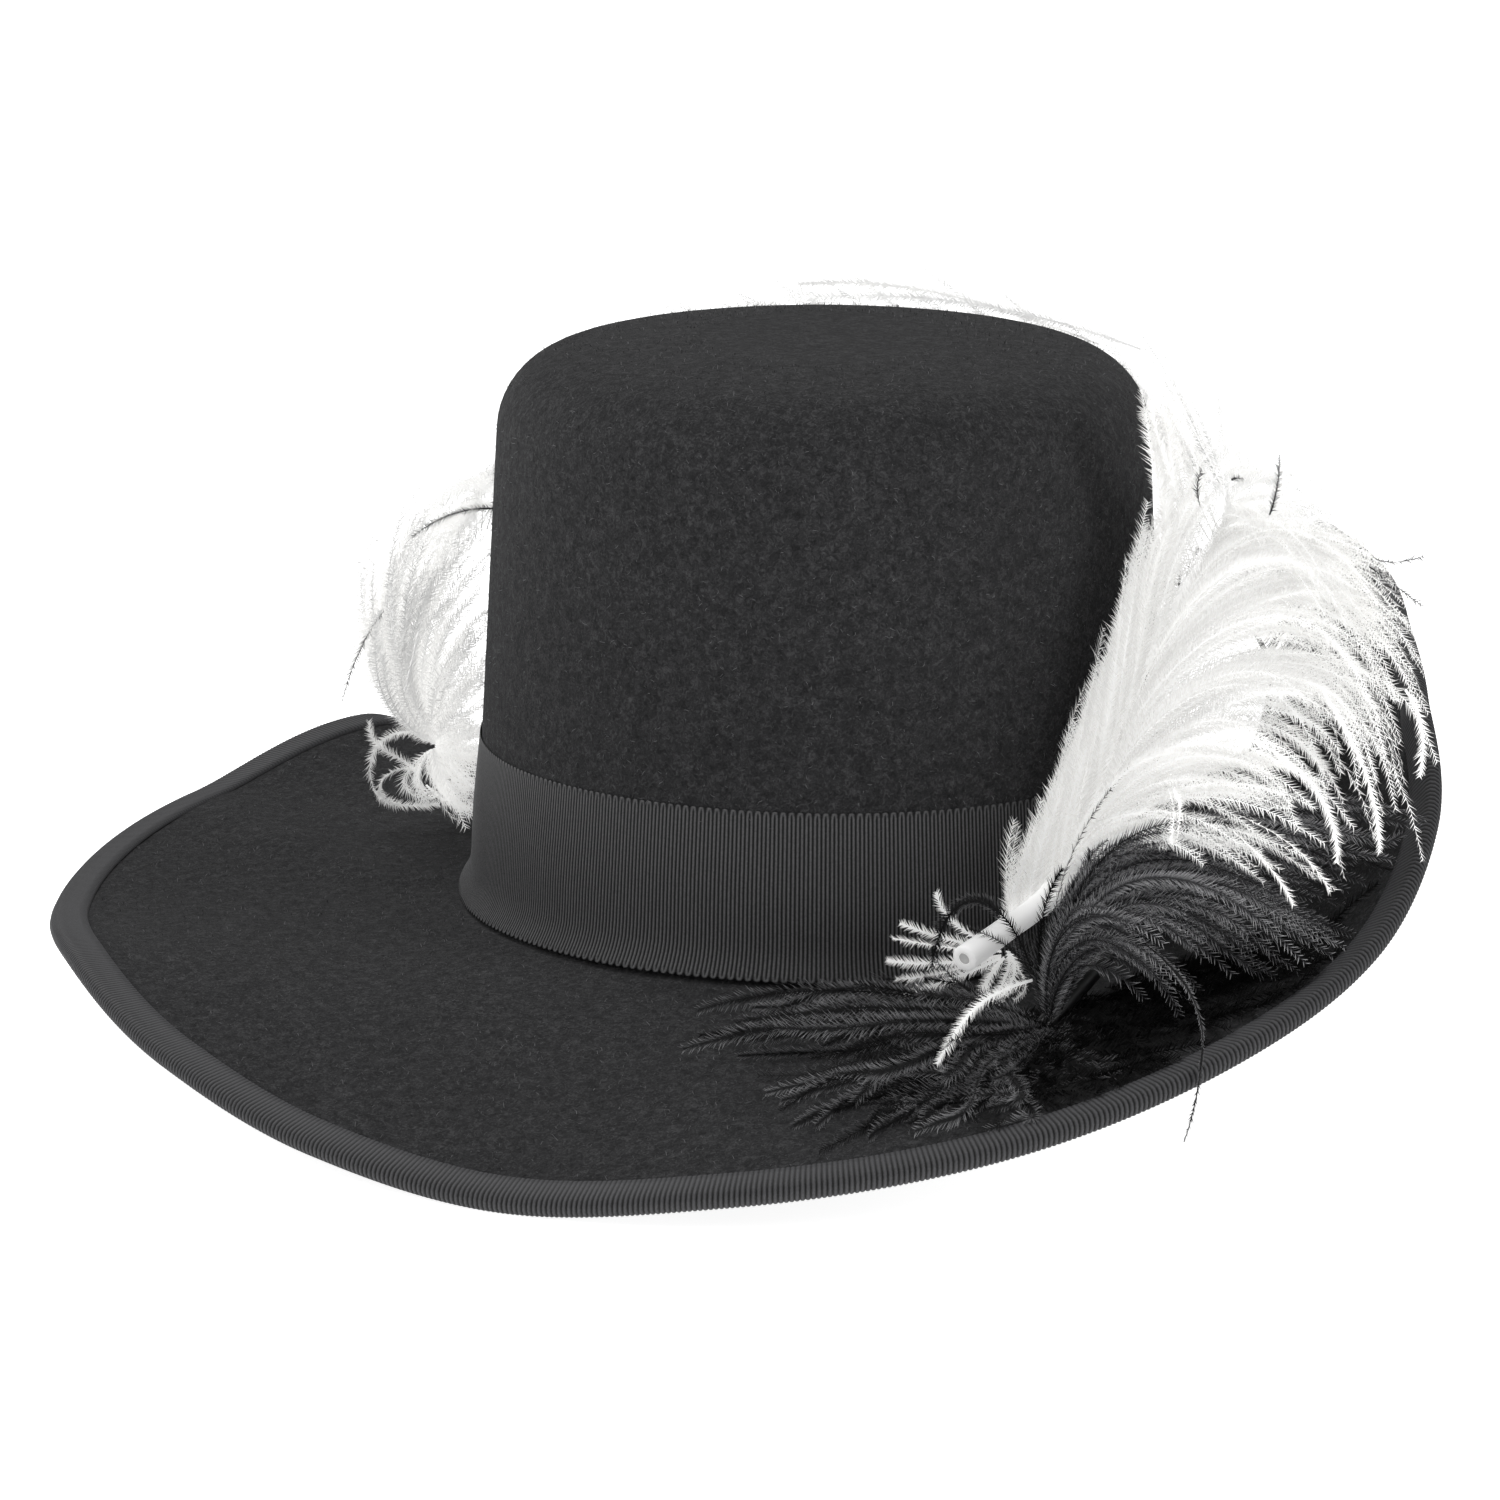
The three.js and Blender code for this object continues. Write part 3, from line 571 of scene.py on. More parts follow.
def make_felt():
    """The hood: its outside drawn out from the tip to the edge, closed at the tip and then
    given the felt's thickness. Between the bend and the edge the brim sways a little."""
    columns, bend_shares, brim_rows = 320, (0.33, 0.67), 30
    sway_height, sways, sway_drift = 0.35, 5, 3
    azimuths = np.arange(columns) * 360 / columns
    rings = [hat_points(azimuths, out, height) for out, height in CROWN_STATIONS]
    rings += [hat_points(azimuths, *bend_place(azimuths, share)[:2]) for share in bend_shares]
    for share in np.linspace(0, 1, brim_rows):
        out, height, _ = brim_place(azimuths, share)
        wave = np.sin(np.radians(azimuths) * sways + share * sway_drift)
        sway = sway_height * wave * share * (1 - share) * 4
        rings.append(hat_points(azimuths, out, height + sway))
    piece = draw_out("felt_hood", np.array(rings), "open")
    edit(piece)
    bpy.ops.mesh.select_all(action="DESELECT")
    bpy.ops.object.mode_set(mode="OBJECT")
    tip_edge = (CROWN_HEIGHT + TIP_RISE) * MM - 1e-6
    for vertex in piece.data.vertices:
        vertex.select = vertex.co.z >= tip_edge
    bpy.ops.object.mode_set(mode="EDIT")
    fill_hole()
    bpy.ops.mesh.select_all(action="SELECT")
    bpy.ops.mesh.normals_make_consistent(inside=False)
    bpy.ops.object.mode_set(mode="OBJECT")
    tip = max(piece.data.polygons, key=lambda face: face.center.z)
    if tip.normal.z < 0:
        piece.data.flip_normals()
    bpy.ops.object.modifier_add(type="SOLIDIFY")
    wall = piece.modifiers[-1]
    wall.thickness = FELT_THICKNESS * MM
    wall.offset = -1.0
    wall.use_even_offset = True
    bpy.ops.object.modifier_apply(modifier=wall.name)
    piece.data.shade_smooth()
    return piece


def felt_hairs(name, surface, count, near, far):
    """Short stray hairs of the nap, each a bent sliver that starts on the felt. Some lie
    nearly flat, others stand up."""
    shortest, longest, half_width = 0.6, 1.7, 0.055
    flattest, steepest, bend_spread, tip_lift = 0.2, 1.8, 0.8, 0.2
    azimuths = chance.uniform(0, 360, count)
    shares = chance.uniform(near, far, count)
    roots = surface(azimuths, shares)
    round_way = unit(surface(azimuths + 0.2, shares) - roots)
    down_way = unit(surface(azimuths, shares + 0.002) - roots)
    outward = unit(np.cross(down_way, round_way))
    length = MM * chance.uniform(shortest, longest, (count, 1))
    bearing = chance.uniform(0, 2 * np.pi, (count, 1))
    turn = chance.normal(0, bend_spread, (count, 1))
    lift = chance.uniform(flattest, steepest, (count, 1))

    def way(angle):
        return round_way * np.cos(angle) + down_way * np.sin(angle)

    elbow = roots + length * 0.5 * unit(way(bearing) + outward * lift)
    tip = elbow + length * 0.5 * unit(way(bearing + turn) + outward * lift * tip_lift)
    half = MM * half_width * unit(np.cross(way(bearing), outward))
    points = np.stack([roots - half, roots + half, elbow + half, elbow - half, tip], axis=1)
    first = np.arange(count)[:, None] * 5
    faces = np.array([(0, 1, 2), (0, 2, 3), (3, 2, 4)])
    triangles = (first[:, None] + faces[None]).reshape(-1, 3)
    tone = np.repeat(chance.uniform(0, 1, count), 5)
    return mesh_of_slivers(name, points.reshape(-1, 3), triangles, {"tone": tone})


# Ribbons

def rib_profile(phase):
    """Height of a ribbon's rounded ribs, 0 in the grooves to 1 on the ribs."""
    return np.abs(np.sin(np.pi * phase)) ** 0.7


def rib_places(surface, share, pitch, per_rib, at_a_time=1):
    """The phases of a ribbon's ribs, a whole number of them, and the azimuths where they lie
    evenly along a line round the hat. Ribs that are joined come so many at a time."""
    fine = np.linspace(0, 360, 3601)
    steps = np.linalg.norm(np.diff(surface(fine, share), axis=0), axis=1) / MM
    lengths = np.concatenate([[0], np.cumsum(steps)])
    ribs = at_a_time * round(lengths[-1] / pitch / at_a_time)
    points = np.arange(ribs * per_rib)
    azimuths = np.interp(points / len(points) * lengths[-1], lengths, fine)
    return points / per_rib, azimuths


def ribbon_pucker(azimuths, row):
    """The slight wave in the ribbon at the front, and fainter ones round the rest of it."""
    middle, middle_row, spread = 269.0, 12.0, 9.0
    depth, slack, faint_depth, faint_waves = 0.35, 0.15, 0.12, 11
    front = np.exp(-((azimuths - middle) / spread) ** 2)
    wave = depth * np.sin((row - middle_row) / BAND_WIDTH * 10 + (azimuths - middle) * 0.12)
    faint = faint_depth * np.sin(np.radians(azimuths) * faint_waves + row * 0.15)
    return np.maximum(front * wave + faint + slack, 0)


def band_flare(row):
    """How far the band's foot stands out at a row, counted in millimetres up from its edge."""
    return BAND_FLARE * np.clip(1 - row / BAND_FLARE_HEIGHT, 0, 1) ** 2


def make_band():
    """The crown's ribbon. Its ribs are one cord that turns back at each edge, so the ribs
    are joined in pairs there and the edge is scalloped. Above its middle it lies snugly."""
    pitch, relief, scallop, turn_width, per_rib = 1.0, 0.3, 0.5, 0.8, 4
    sway_height, sways, level = 0.25, 3, 0.92
    phase, azimuths = rib_places(crown_surface, level, pitch, per_rib, 2)
    ribbed = rib_profile(phase)
    joined_at_foot = np.abs(np.sin(np.pi * phase / 2)) ** 0.6
    joined_at_top = np.abs(np.cos(np.pi * phase / 2)) ** 0.6
    edge_rows = np.array([-0.2, 0.1, 0.4, 0.8, 1.3])
    rows = [*edge_rows, 2.5, 4, 6, 9, 15, 21, 27, 33, *(BAND_WIDTH - edge_rows[::-1])]
    back_rows = (BAND_WIDTH - 0.2, BAND_WIDTH / 2, 9, 6, 4, 2, 0.4)
    rings, values = [], []
    for row in rows:
        near_foot = np.clip(1 - row / turn_width, 0, 1)
        near_top = np.clip(1 - (BAND_WIDTH - row) / turn_width, 0, 1)
        cords = ribbed * (1 - near_foot - near_top) + joined_at_foot * near_foot + joined_at_top * near_top
        cords = np.clip(cords, 0, 1)
        reach = scallop * (near_top * joined_at_top - near_foot * joined_at_foot)
        sway = sway_height * np.sin(np.radians(azimuths) * sways + 1)
        height = BAND_FOOT + row + reach + sway
        snug = np.clip((row - BAND_WIDTH / 2) / (BAND_WIDTH / 2), 0, 1)
        thickness = RIBBON_THICKNESS * (1 - 0.8 * snug)
        groove = relief * (1 - cords) * (1 - 0.6 * snug)
        pucker = ribbon_pucker(azimuths, row) * (1 - 0.7 * snug)
        out = crown_out(height) + band_flare(row) + CLEARANCE + thickness - groove + pucker
        rings.append(hat_points(azimuths, out, height))
        values.append(cords)
    for row in back_rows:
        height = BAND_FOOT + row + 0 * azimuths
        rings.append(hat_points(azimuths, crown_out(height) + CLEARANCE / 2 + band_flare(row), height))
        values.append(0 * azimuths)
    return draw_out("band_ribbon", np.array(rings), "joined", np.array(values))


def make_binding():
    """The ribbon folded over the brim's edge. Its ribs show on the roll and flatten out where
    the ribbon lies along the felt."""
    pitch, relief, per_rib = 1.2, 0.32, 4
    phase, azimuths = rib_places(brim_surface, 1.0, pitch, per_rib)
    out, height, heading = brim_place(azimuths, 1.0)
    outer = FELT_THICKNESS / 2 + CLEARANCE + RIBBON_THICKNESS
    inner = FELT_THICKNESS / 2 + CLEARANCE / 2
    # Beyond the felt's edge, share of the roll's height above the felt and how strongly ribbed
    flat = [
        (-BINDING_WIDTH, 0.6, 0.0),
        (0.5 - BINDING_WIDTH, 0.95, 0.4),
        (-4.6, 1, 0.5),
        (-2.2, 1, 0.65),
        (-0.9, 1, 0.85),
    ]
    nose = [(outer * cos(radians(a)), outer * sin(radians(a)), 1.0) for a in range(90, -91, -30)]
    section = [(along, outer * level, ribbed) for along, level, ribbed in flat]
    section += nose
    section += [(along, -outer * level, ribbed) for along, level, ribbed in reversed(flat)]
    fold = CLEARANCE / 3
    section += [(-BINDING_WIDTH, -inner, 0), (fold, -inner, 0), (fold, inner, 0), (-BINDING_WIDTH, inner, 0)]
    rings, values = [], []
    for along, above, ribbed in section:
        cords = 1 - (1 - rib_profile(phase)) * ribbed
        scale = 1 - relief * (1 - cords) / max(np.hypot(max(along, 0.0), above), 0.1)
        ahead = along if along <= 0 else along * scale
        raised = above * scale - FELT_THICKNESS / 2
        rings.append(hat_points(
            azimuths,
            out + ahead * np.cos(heading) - raised * np.sin(heading),
            height + ahead * np.sin(heading) + raised * np.cos(heading),
        ))
        values.append(cords + 0 * azimuths)
    return draw_out("edge_ribbon", np.array(rings), "joined", np.array(values))


# Plumes

def shaft_line(rows):
    """Evenly spaced points along a smooth curve through the places of a shaft."""
    count, fine_count = 241, 2000
    points = hat_points(*rows.T)
    chords = np.sqrt(np.linalg.norm(np.diff(points, axis=0), axis=1))
    knots = np.concatenate([[0], np.cumsum(chords)])
    tangents = np.gradient(points, knots, axis=0)
    fine = np.linspace(0, knots[-1], fine_count)
    here = np.clip(np.searchsorted(knots, fine, side="right") - 1, 0, len(knots) - 2)
    span = (knots[here + 1] - knots[here])[:, None]
    t = (fine - knots[here])[:, None] / span
    curve = smooth_curve(points[here], points[here + 1], tangents[here], tangents[here + 1], span, t)
    lengths = np.concatenate([[0], np.cumsum(np.linalg.norm(np.diff(curve, axis=0), axis=1))])
    even = np.linspace(0, lengths[-1], count)
    return np.stack([np.interp(even, lengths, curve[:, axis]) for axis in range(3)], axis=-1)


def make_shaft(name, rows, radius):
    """A plume's shaft: a quill cut slantwise, so that the cut with its pith hole faces the
    front, that soon tapers to a thin rod."""
    sides, slant, slant_steps, rim_round, pith = 16, 0.25, 4, 0.25, 0.28
    line = shaft_line(rows)
    ahead = unit(np.gradient(line, axis=0))
    side = unit(np.cross(ahead, (0, 0, 1)))
    lift = np.cross(side, ahead)
    angles = np.arange(sides) * 2 * np.pi / sides
    shares = np.linspace(0, 1, len(line))
    radii = MM * (SHAFT_TIP_RADIUS + (radius - SHAFT_TIP_RADIUS) * (1 - shares) ** 3)
    # Up out of the pith hole, across the cut and then along the shaft: the step of its line
    # and the share of its radius there
    cut = [(2, 0.24), (1, 0.26), (0, pith), (0, 0.55), (0, 0.93)]
    sections, horn = [], []
    for i, wall in cut + [(i, 1.0) for i in range(len(line))]:
        ring = side[i] * np.cos(angles)[:, None] + lift[i] * np.sin(angles)[:, None]
        ring = ring * radii[i] * wall
        rim = MM * rim_round * (wall == 1.0 and i == 0)
        slanted = -ring[:, 1:2] * slant * max(1 - i / slant_steps, 0)
        sections.append(line[i] + ring + ahead[i] * (rim + slanted))
        # Points in the pith hole get 0, painted dark as shade in the hollow; the rest of the quill 1
        horn.append(np.full(len(angles), float(wall > pith)))
    return draw_out(name, np.array(sections), "filled", np.array(horn))


def row_points(rows):
    """The root, the two bends and the tip in each row, as points in metres."""
    places = rows.reshape(-1, 4, 3)
    return hat_points(places[..., 0], places[..., 1], places[..., 2])


def bezier_lines(controls, steps=BARB_STEPS, reach=1.0):
    """Points along curves, each from its root past two bends to its tip, or as far as it
    reaches of that way."""
    t = np.linspace(0, 1, steps)[None, :, None] * reach
    root, bend, next_bend, tip = (controls[:, i, None, :] for i in range(4))
    return (
        root * (1 - t) ** 3
        + bend * 3 * t * (1 - t) ** 2
        + next_bend * 3 * t * t * (1 - t)
        + tip * t ** 3
    )


def fan_controls(fan):
    """The rows of a fan with the barbs between them, as points in metres."""
    mixed = []
    for row, after in zip(fan[:-1], fan[1:]):
        number = int(row[0])
        place = (np.arange(number) + chance.uniform(0, 1, number)) / number
        mixed.append(row[1:] + (after[1:] - row[1:]) * place[:, None])
    return row_points(np.concatenate(mixed))


def fan_lines(fan, spread, depth=0.0, tuft_size=5, shortest=0.7, curl=0.0):
    """Centre lines of the barbs of a fan. Barbs that lie together in tufts share most of their
    spread, some lie deeper in the fan than others, and curled ones hook over at the tip."""
    longest, own_share = 1.04, 0.45
    controls = fan_controls(fan)
    count = len(controls)
    tuft = np.arange(count) // tuft_size
    # How freely the root, the two bends and the tip stray
    loosening = np.array([0.05, 0.45, 0.9, 1.2])[None, :, None]
    shared = chance.normal(0, spread, (tuft[-1] + 1, 1, 3))[tuft]
    own = chance.normal(0, spread * own_share, (count, 4, 3))
    controls = controls + MM * loosening * (shared + own)
    outward = unit(controls * (1, 1, 0))
    controls -= outward * MM * depth * loosening * chance.uniform(0, 1, (count, 1, 1))
    lines = bezier_lines(controls, reach=chance.uniform(shortest, longest, (count, 1, 1)))
    return clear_of_hat(lines + hooked_tips(lines, curl))


def hooked_tips(lines, curl):
    """Offsets that turn the outer part of each line over to one side, some far, some hardly."""
    count, steps, _ = lines.shape
    along = unit(lines[:, -1:] - lines[:, :1])
    aside = unit(np.cross(along, (0, 0, 1)))
    turn = 1.6 * np.pi * np.linspace(0, 1, steps)[None, :, None] ** 2
    size = MM * chance.normal(0, curl, (count, 1, 1))
    return size * aside * (1 - np.cos(turn)) - np.abs(size) * along * np.maximum(np.sin(turn - np.pi), 0)


def clear_of_hat(lines):
    """Lines kept off the crown, its ribbon and the top of the brim."""
    gap, above_band, brim_steps, bound_share = 1.2, 2.0, 40, 0.9
    azimuths, outs, heights = hat_places(lines)
    band_top = BAND_FOOT + BAND_WIDTH + above_band
    ribbon = np.where(heights < band_top, CLEARANCE + RIBBON_THICKNESS, 0)
    wall_outs = np.interp(heights, CROWN_STATIONS[::-1, 1], CROWN_STATIONS[::-1, 0])
    above_tip = heights > CROWN_HEIGHT + TIP_RISE
    outs = np.where(above_tip, outs, np.maximum(outs, wall_outs + ribbon + gap))
    shares = np.linspace(0, 1, brim_steps)
    degrees = np.arange(360.0)
    sections = np.stack([np.stack(brim_place(degrees, share)) for share in shares], axis=-1)
    column = np.rint(azimuths).astype(int) % 360
    away = np.stack([outs[..., None] - sections[0][column], heights[..., None] - sections[1][column]])
    nearest = np.argmin((away ** 2).sum(0), axis=-1)[..., None]
    slope = np.take_along_axis(sections[2][column], nearest, -1)[..., 0]
    out_gap, height_gap = (np.take_along_axis(part, nearest, -1)[..., 0] for part in away)
    above = height_gap * np.cos(slope) - out_gap * np.sin(slope)
    beyond = (out_gap * np.cos(slope) + height_gap * np.sin(slope) > 0) & (nearest[..., 0] == brim_steps - 1)
    on_binding = nearest[..., 0] > bound_share * brim_steps
    lip_gap = np.where(on_binding, CLEARANCE + RIBBON_THICKNESS, 0)
    lift = np.where(beyond, 0, np.maximum(gap + lip_gap - above, 0))
    return hat_points(azimuths, outs - lift * np.sin(slope), heights + lift * np.cos(slope))


def barb_mesh(name, lines, barbule_length, spacing, barbule_width=0.42, rachis=0.2):
    """Barbs with their barbules. A barb is a thin tapering ribbon; its barbules are fine
    slivers that lean towards its tip on both sides, like a fern laid along the fan. They are
    short near its root and again near its tip."""
    taper, face_spread, lean_angle, lean_spread, roll_spread = 0.75, 0.45, 42, 7, 16
    count, steps, _ = lines.shape
    ahead = unit(np.gradient(lines, axis=1))
    outward = unit(lines.mean(axis=1, keepdims=True) * (1, 1, 0.3))
    side = unit(np.cross(ahead, outward + chance.normal(0, face_spread, (count, 1, 3))))
    facing = np.cross(side, ahead)
    tone = chance.uniform(0, 1, count)
    t = np.linspace(0, 1, steps)
    width = MM * rachis * (1 - taper * t)[None, :, None]
    ribbons = np.stack([lines - side * width, lines + side * width], axis=2).reshape(-1, 3)
    base = 2 * (np.arange(count)[:, None] * steps + np.arange(steps - 1)[None]).reshape(-1)
    ribbon_faces = np.concatenate([
        np.stack([base, base + 1, base + 3], 1),
        np.stack([base, base + 3, base + 2], 1),
    ])
    lengths = np.linalg.norm(np.diff(lines, axis=1), axis=2).sum(axis=1) / MM
    number = np.maximum((lengths / spacing).astype(int), 4)
    owner = np.repeat(np.arange(count), number)
    first = np.cumsum(number) - number
    order = (np.arange(number.sum()) - first[owner] + chance.uniform(0.1, 0.9, number.sum())) / number[owner]
    place = order * (steps - 1)
    low = np.minimum(place.astype(int), steps - 2)
    part = (place - low)[:, None]
    centre, forward, across, up = (
        values[owner, low] * (1 - part) + values[owner, low + 1] * part
        for values in (lines, ahead, side, facing)
    )
    hand = np.where(np.arange(len(owner)) % 2 == 0, 1, -1)[:, None]
    lean = np.radians(chance.normal(lean_angle, lean_spread, len(owner)))[:, None]
    roll = np.radians(chance.normal(0, roll_spread, len(owner)))[:, None]
    growth = np.clip(order / 0.1, 0.3, 1) * np.clip((1.15 - order) / 0.3, 0.4, 1)
    reach = MM * barbule_length * growth[:, None] * chance.uniform(0.8, 1.15, (len(owner), 1))
    aim = forward * np.cos(lean) + (across * hand * np.cos(roll) + up * np.sin(roll)) * np.sin(lean)
    half = forward * MM * barbule_width * 0.5
    slivers = np.stack([centre - half, centre + half, centre + aim * reach], axis=1).reshape(-1, 3)
    sliver_faces = len(ribbons) + np.arange(len(slivers)).reshape(-1, 3)
    values = {
        "tone": np.concatenate([np.repeat(tone, steps * 2), np.repeat(tone[owner], 3)]),
        # fringe rises from the barb to its barbule tips; white barbs grey their tips with it as painted
        # shade, black barbs pale theirs
        "fringe": np.concatenate([np.zeros(len(ribbons)), np.tile([0.2, 0.2, 1.0], len(owner))]),
    }
    points = np.concatenate([ribbons, slivers])
    return mesh_of_slivers(name, points, np.concatenate([ribbon_faces, sliver_faces]), values)


def stray_lines(rows):
    """Centre lines of single barbs, a row to each."""
    return clear_of_hat(bezier_lines(row_points(rows)))


def brim_shadow_barbs(count):
    """Near-black barbs laid low on the brim in the hollow under the black plume's arching barbs, a painted
    shadow there.
    """
    steps, outermost, arch = 9, 0.94, (0.2, 1, 1, 0.4)
    azimuth_range, turn_range = (283, 311), (-3, 6)
    share_range, reach_range, lift_range = (0.3, 0.86), (0.08, 0.17), (1, 4)
    along = np.array([0, 1, 2, 3]) / 3
    azimuths = chance.uniform(*azimuth_range, (count, 1)) + chance.uniform(*turn_range, (count, 1)) * along
    shares = chance.uniform(*share_range, (count, 1)) + chance.uniform(*reach_range, (count, 1)) * along
    controls = brim_surface(azimuths, np.minimum(shares, outermost))
    controls[..., 2] += MM * chance.uniform(*lift_range, (count, 1)) * np.array(arch)
    return clear_of_hat(bezier_lines(controls, steps))


# Materials

def new_material(name, roughness, specular, glow=0.0):
    """A material and its shader. One that glows is lit faintly white from within: on the pale barbs and
    quill that glow is painted light, on the floor an evenly bright backdrop.
    """
    material = bpy.data.materials.new(name)
    material.use_nodes = True
    shader = material.node_tree.nodes["Principled BSDF"]
    shader.inputs["Roughness"].default_value = roughness
    shader.inputs["Specular IOR Level"].default_value = specular
    shader.inputs["Emission Color"].default_value = srgb("#ffffff")
    shader.inputs["Emission Strength"].default_value = glow
    return material, material.node_tree, shader


def add_node(tree, kind, settings=(), inputs=(), links=(), stops=()):
    """Adds a node, sets its properties, input values and colour stops, and links its inputs."""
    node = tree.nodes.new(kind)
    for key, value in dict(settings).items():
        setattr(node, key, value)
    for key, value in dict(inputs).items():
        node.inputs[key].default_value = value
    for key, source in dict(links).items():
        tree.links.new(source, node.inputs[key])
    if stops:
        elements = node.color_ramp.elements
        while len(elements) < len(stops):
            elements.new(0.5)
        for element, (place, code) in zip(elements, stops):
            element.position = place
            element.color = srgb(code)
    return node


def grain(size, detail=3.0, roughness=0.6, distortion=0.0):
    """The values of a noise whose grains are a size in millimetres."""
    return {"Scale": 1 / (MM * size), "Detail": detail, "Roughness": roughness, "Distortion": distortion}


def wool_felt():
    """Wool felt, brushed and pressed: matt and mottled by its short nap."""
    material, tree, shader = new_material("wool felt", roughness=0.95, specular=0.08)
    fibre_length, mottle_width, nap_height = 1.111, 3.03, 0.5
    where = {"Vector": add_node(tree, "ShaderNodeTexCoord").outputs["Object"]}
    # Felted fibres that swirl together, over broader mottles
    swirl = grain(fibre_length, detail=4.0, roughness=0.7, distortion=1.4)
    fibres = add_node(tree, "ShaderNodeTexNoise", {}, swirl, where)
    mottles = add_node(tree, "ShaderNodeTexNoise", {}, grain(mottle_width), where)
    links = {"A": fibres.outputs["Fac"], "B": mottles.outputs["Fac"]}
    nap = add_node(tree, "ShaderNodeMix", {"data_type": "FLOAT"}, {"Factor": 0.25}, links)
    stops = [(0.35, "#19191a"), (0.5, "#2a2a2b"), (0.67, "#444445")]
    colours = add_node(tree, "ShaderNodeValToRGB", links={"Fac": nap.outputs["Result"]}, stops=stops)
    depths = {"Strength": 0.6, "Distance": MM * nap_height}
    relief = add_node(tree, "ShaderNodeBump", {}, depths, {"Height": fibres.outputs["Fac"]})
    tree.links.new(colours.outputs["Color"], shader.inputs["Base Color"])
    tree.links.new(relief.outputs["Normal"], shader.inputs["Normal"])
    shader.inputs["Sheen Weight"].default_value = 0.02
    return material


def nap_hair():
    """Single hairs that stand clear of the felt and catch the light."""
    material, tree, shader = new_material("nap hair", roughness=0.8, specular=0.2)
    tone = add_node(tree, "ShaderNodeAttribute", {"attribute_name": "tone"})
    stops = [(0.1, "#262627"), (0.6, "#404041"), (1.0, "#6c6c6e")]
    colours = add_node(tree, "ShaderNodeValToRGB", links={"Fac": tone.outputs["Fac"]}, stops=stops)
    tree.links.new(colours.outputs["Color"], shader.inputs["Base Color"])
    return material


def petersham(name, groove, cord, painted_rib_sheen):
    """Ribbed viscose ribbon, painted dark between its cords as shade in the grooves and pale along their
    tops as a painted sheen.
    """
    material, tree, shader = new_material(name, roughness=0.6, specular=0.2)
    # Threads coarser than real ones, so that they show
    thread_spacing, thread_height = 0.4545, 0.1
    where = {"Vector": add_node(tree, "ShaderNodeTexCoord").outputs["Object"]}
    threads = add_node(tree, "ShaderNodeTexNoise", {}, grain(thread_spacing), where)
    # The ribs' relief, 0 in the grooves and 1 on the cords, paints shade into the grooves and a sheen onto
    # the cord tops
    cords = add_node(tree, "ShaderNodeAttribute", {"attribute_name": "relief"})
    links = {"A": cords.outputs["Fac"], "B": threads.outputs["Fac"]}
    threads_and_cord_shade = add_node(tree, "ShaderNodeMix", {"data_type": "FLOAT"}, {"Factor": 0.3}, links)
    # First stop painted shade in the grooves, middle stop the ribbon's own tone, last stop painted sheen
    stops = [(0.25, groove), (0.6, cord), (0.85, painted_rib_sheen)]
    colours = add_node(tree, "ShaderNodeValToRGB", links={"Fac": threads_and_cord_shade.outputs["Result"]}, stops=stops)
    depths = {"Strength": 0.3, "Distance": MM * thread_height}
    relief = add_node(tree, "ShaderNodeBump", {}, depths, {"Height": threads.outputs["Fac"]})
    tree.links.new(colours.outputs["Color"], shader.inputs["Base Color"])
    tree.links.new(relief.outputs["Normal"], shader.inputs["Normal"])
    return material


def ostrich(name, fringe_share, stops, glow=0.0):
    """Ostrich barbs: fine soft keratin, each barb a little different in tone and paler or
    darker towards the ends of its barbules; the darker ends of white barbs are painted shade
    that parts the strands. Pale barbs are given a glow, painted light that stands in for
    light passing through them."""
    material, tree, shader = new_material(name, roughness=0.7, specular=0.15, glow=glow)
    # Drifts of tone run over neighbouring barbs
    drift_width = 16.67
    where = {"Vector": add_node(tree, "ShaderNodeTexCoord").outputs["Object"]}
    drifts = add_node(tree, "ShaderNodeTexNoise", {}, grain(drift_width), where)
    tone = add_node(tree, "ShaderNodeAttribute", {"attribute_name": "tone"})
    links = {"A": tone.outputs["Fac"], "B": drifts.outputs["Fac"]}
    barb = add_node(tree, "ShaderNodeMix", {"data_type": "FLOAT"}, {"Factor": 0.4}, links)
    fringe = add_node(tree, "ShaderNodeAttribute", {"attribute_name": "fringe"})
    links = {"A": barb.outputs["Result"], "B": fringe.outputs["Fac"]}
    frayed = add_node(tree, "ShaderNodeMix", {"data_type": "FLOAT"}, {"Factor": fringe_share}, links)
    colours = add_node(tree, "ShaderNodeValToRGB", links={"Fac": frayed.outputs["Result"]}, stops=stops)
    tree.links.new(colours.outputs["Color"], shader.inputs["Base Color"])
    return material


def quill_horn(name, stops, glow=0.0):
    """The shaft's keratin: smooth, waxy and faintly streaked, painted dark in the pith hole of
    its cut as shade in that hollow. A pale one is given a little glow, painted light that
    stands in for light passing through its wall."""
    material, tree, shader = new_material(name, roughness=0.35, specular=0.5, glow=glow)
    streak_width = 5.556
    where = {"Vector": add_node(tree, "ShaderNodeTexCoord").outputs["Object"]}
    streaks = add_node(tree, "ShaderNodeTexNoise", {}, grain(streak_width), where)
    wall = add_node(tree, "ShaderNodeAttribute", {"attribute_name": "relief"})
    links = {"A": streaks.outputs["Fac"], "B": wall.outputs["Fac"]}
    horn = add_node(tree, "ShaderNodeMix", {"data_type": "FLOAT"}, {"Factor": 0.5}, links)
    colours = add_node(tree, "ShaderNodeValToRGB", links={"Fac": horn.outputs["Result"]}, stops=stops)
    tree.links.new(colours.outputs["Color"], shader.inputs["Base Color"])
    return material


def dress(piece, material, node):
    piece.data.materials.clear()
    piece.data.materials.append(material)
    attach(piece, "root")
    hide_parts(node)


# The view of the photograph and the studio

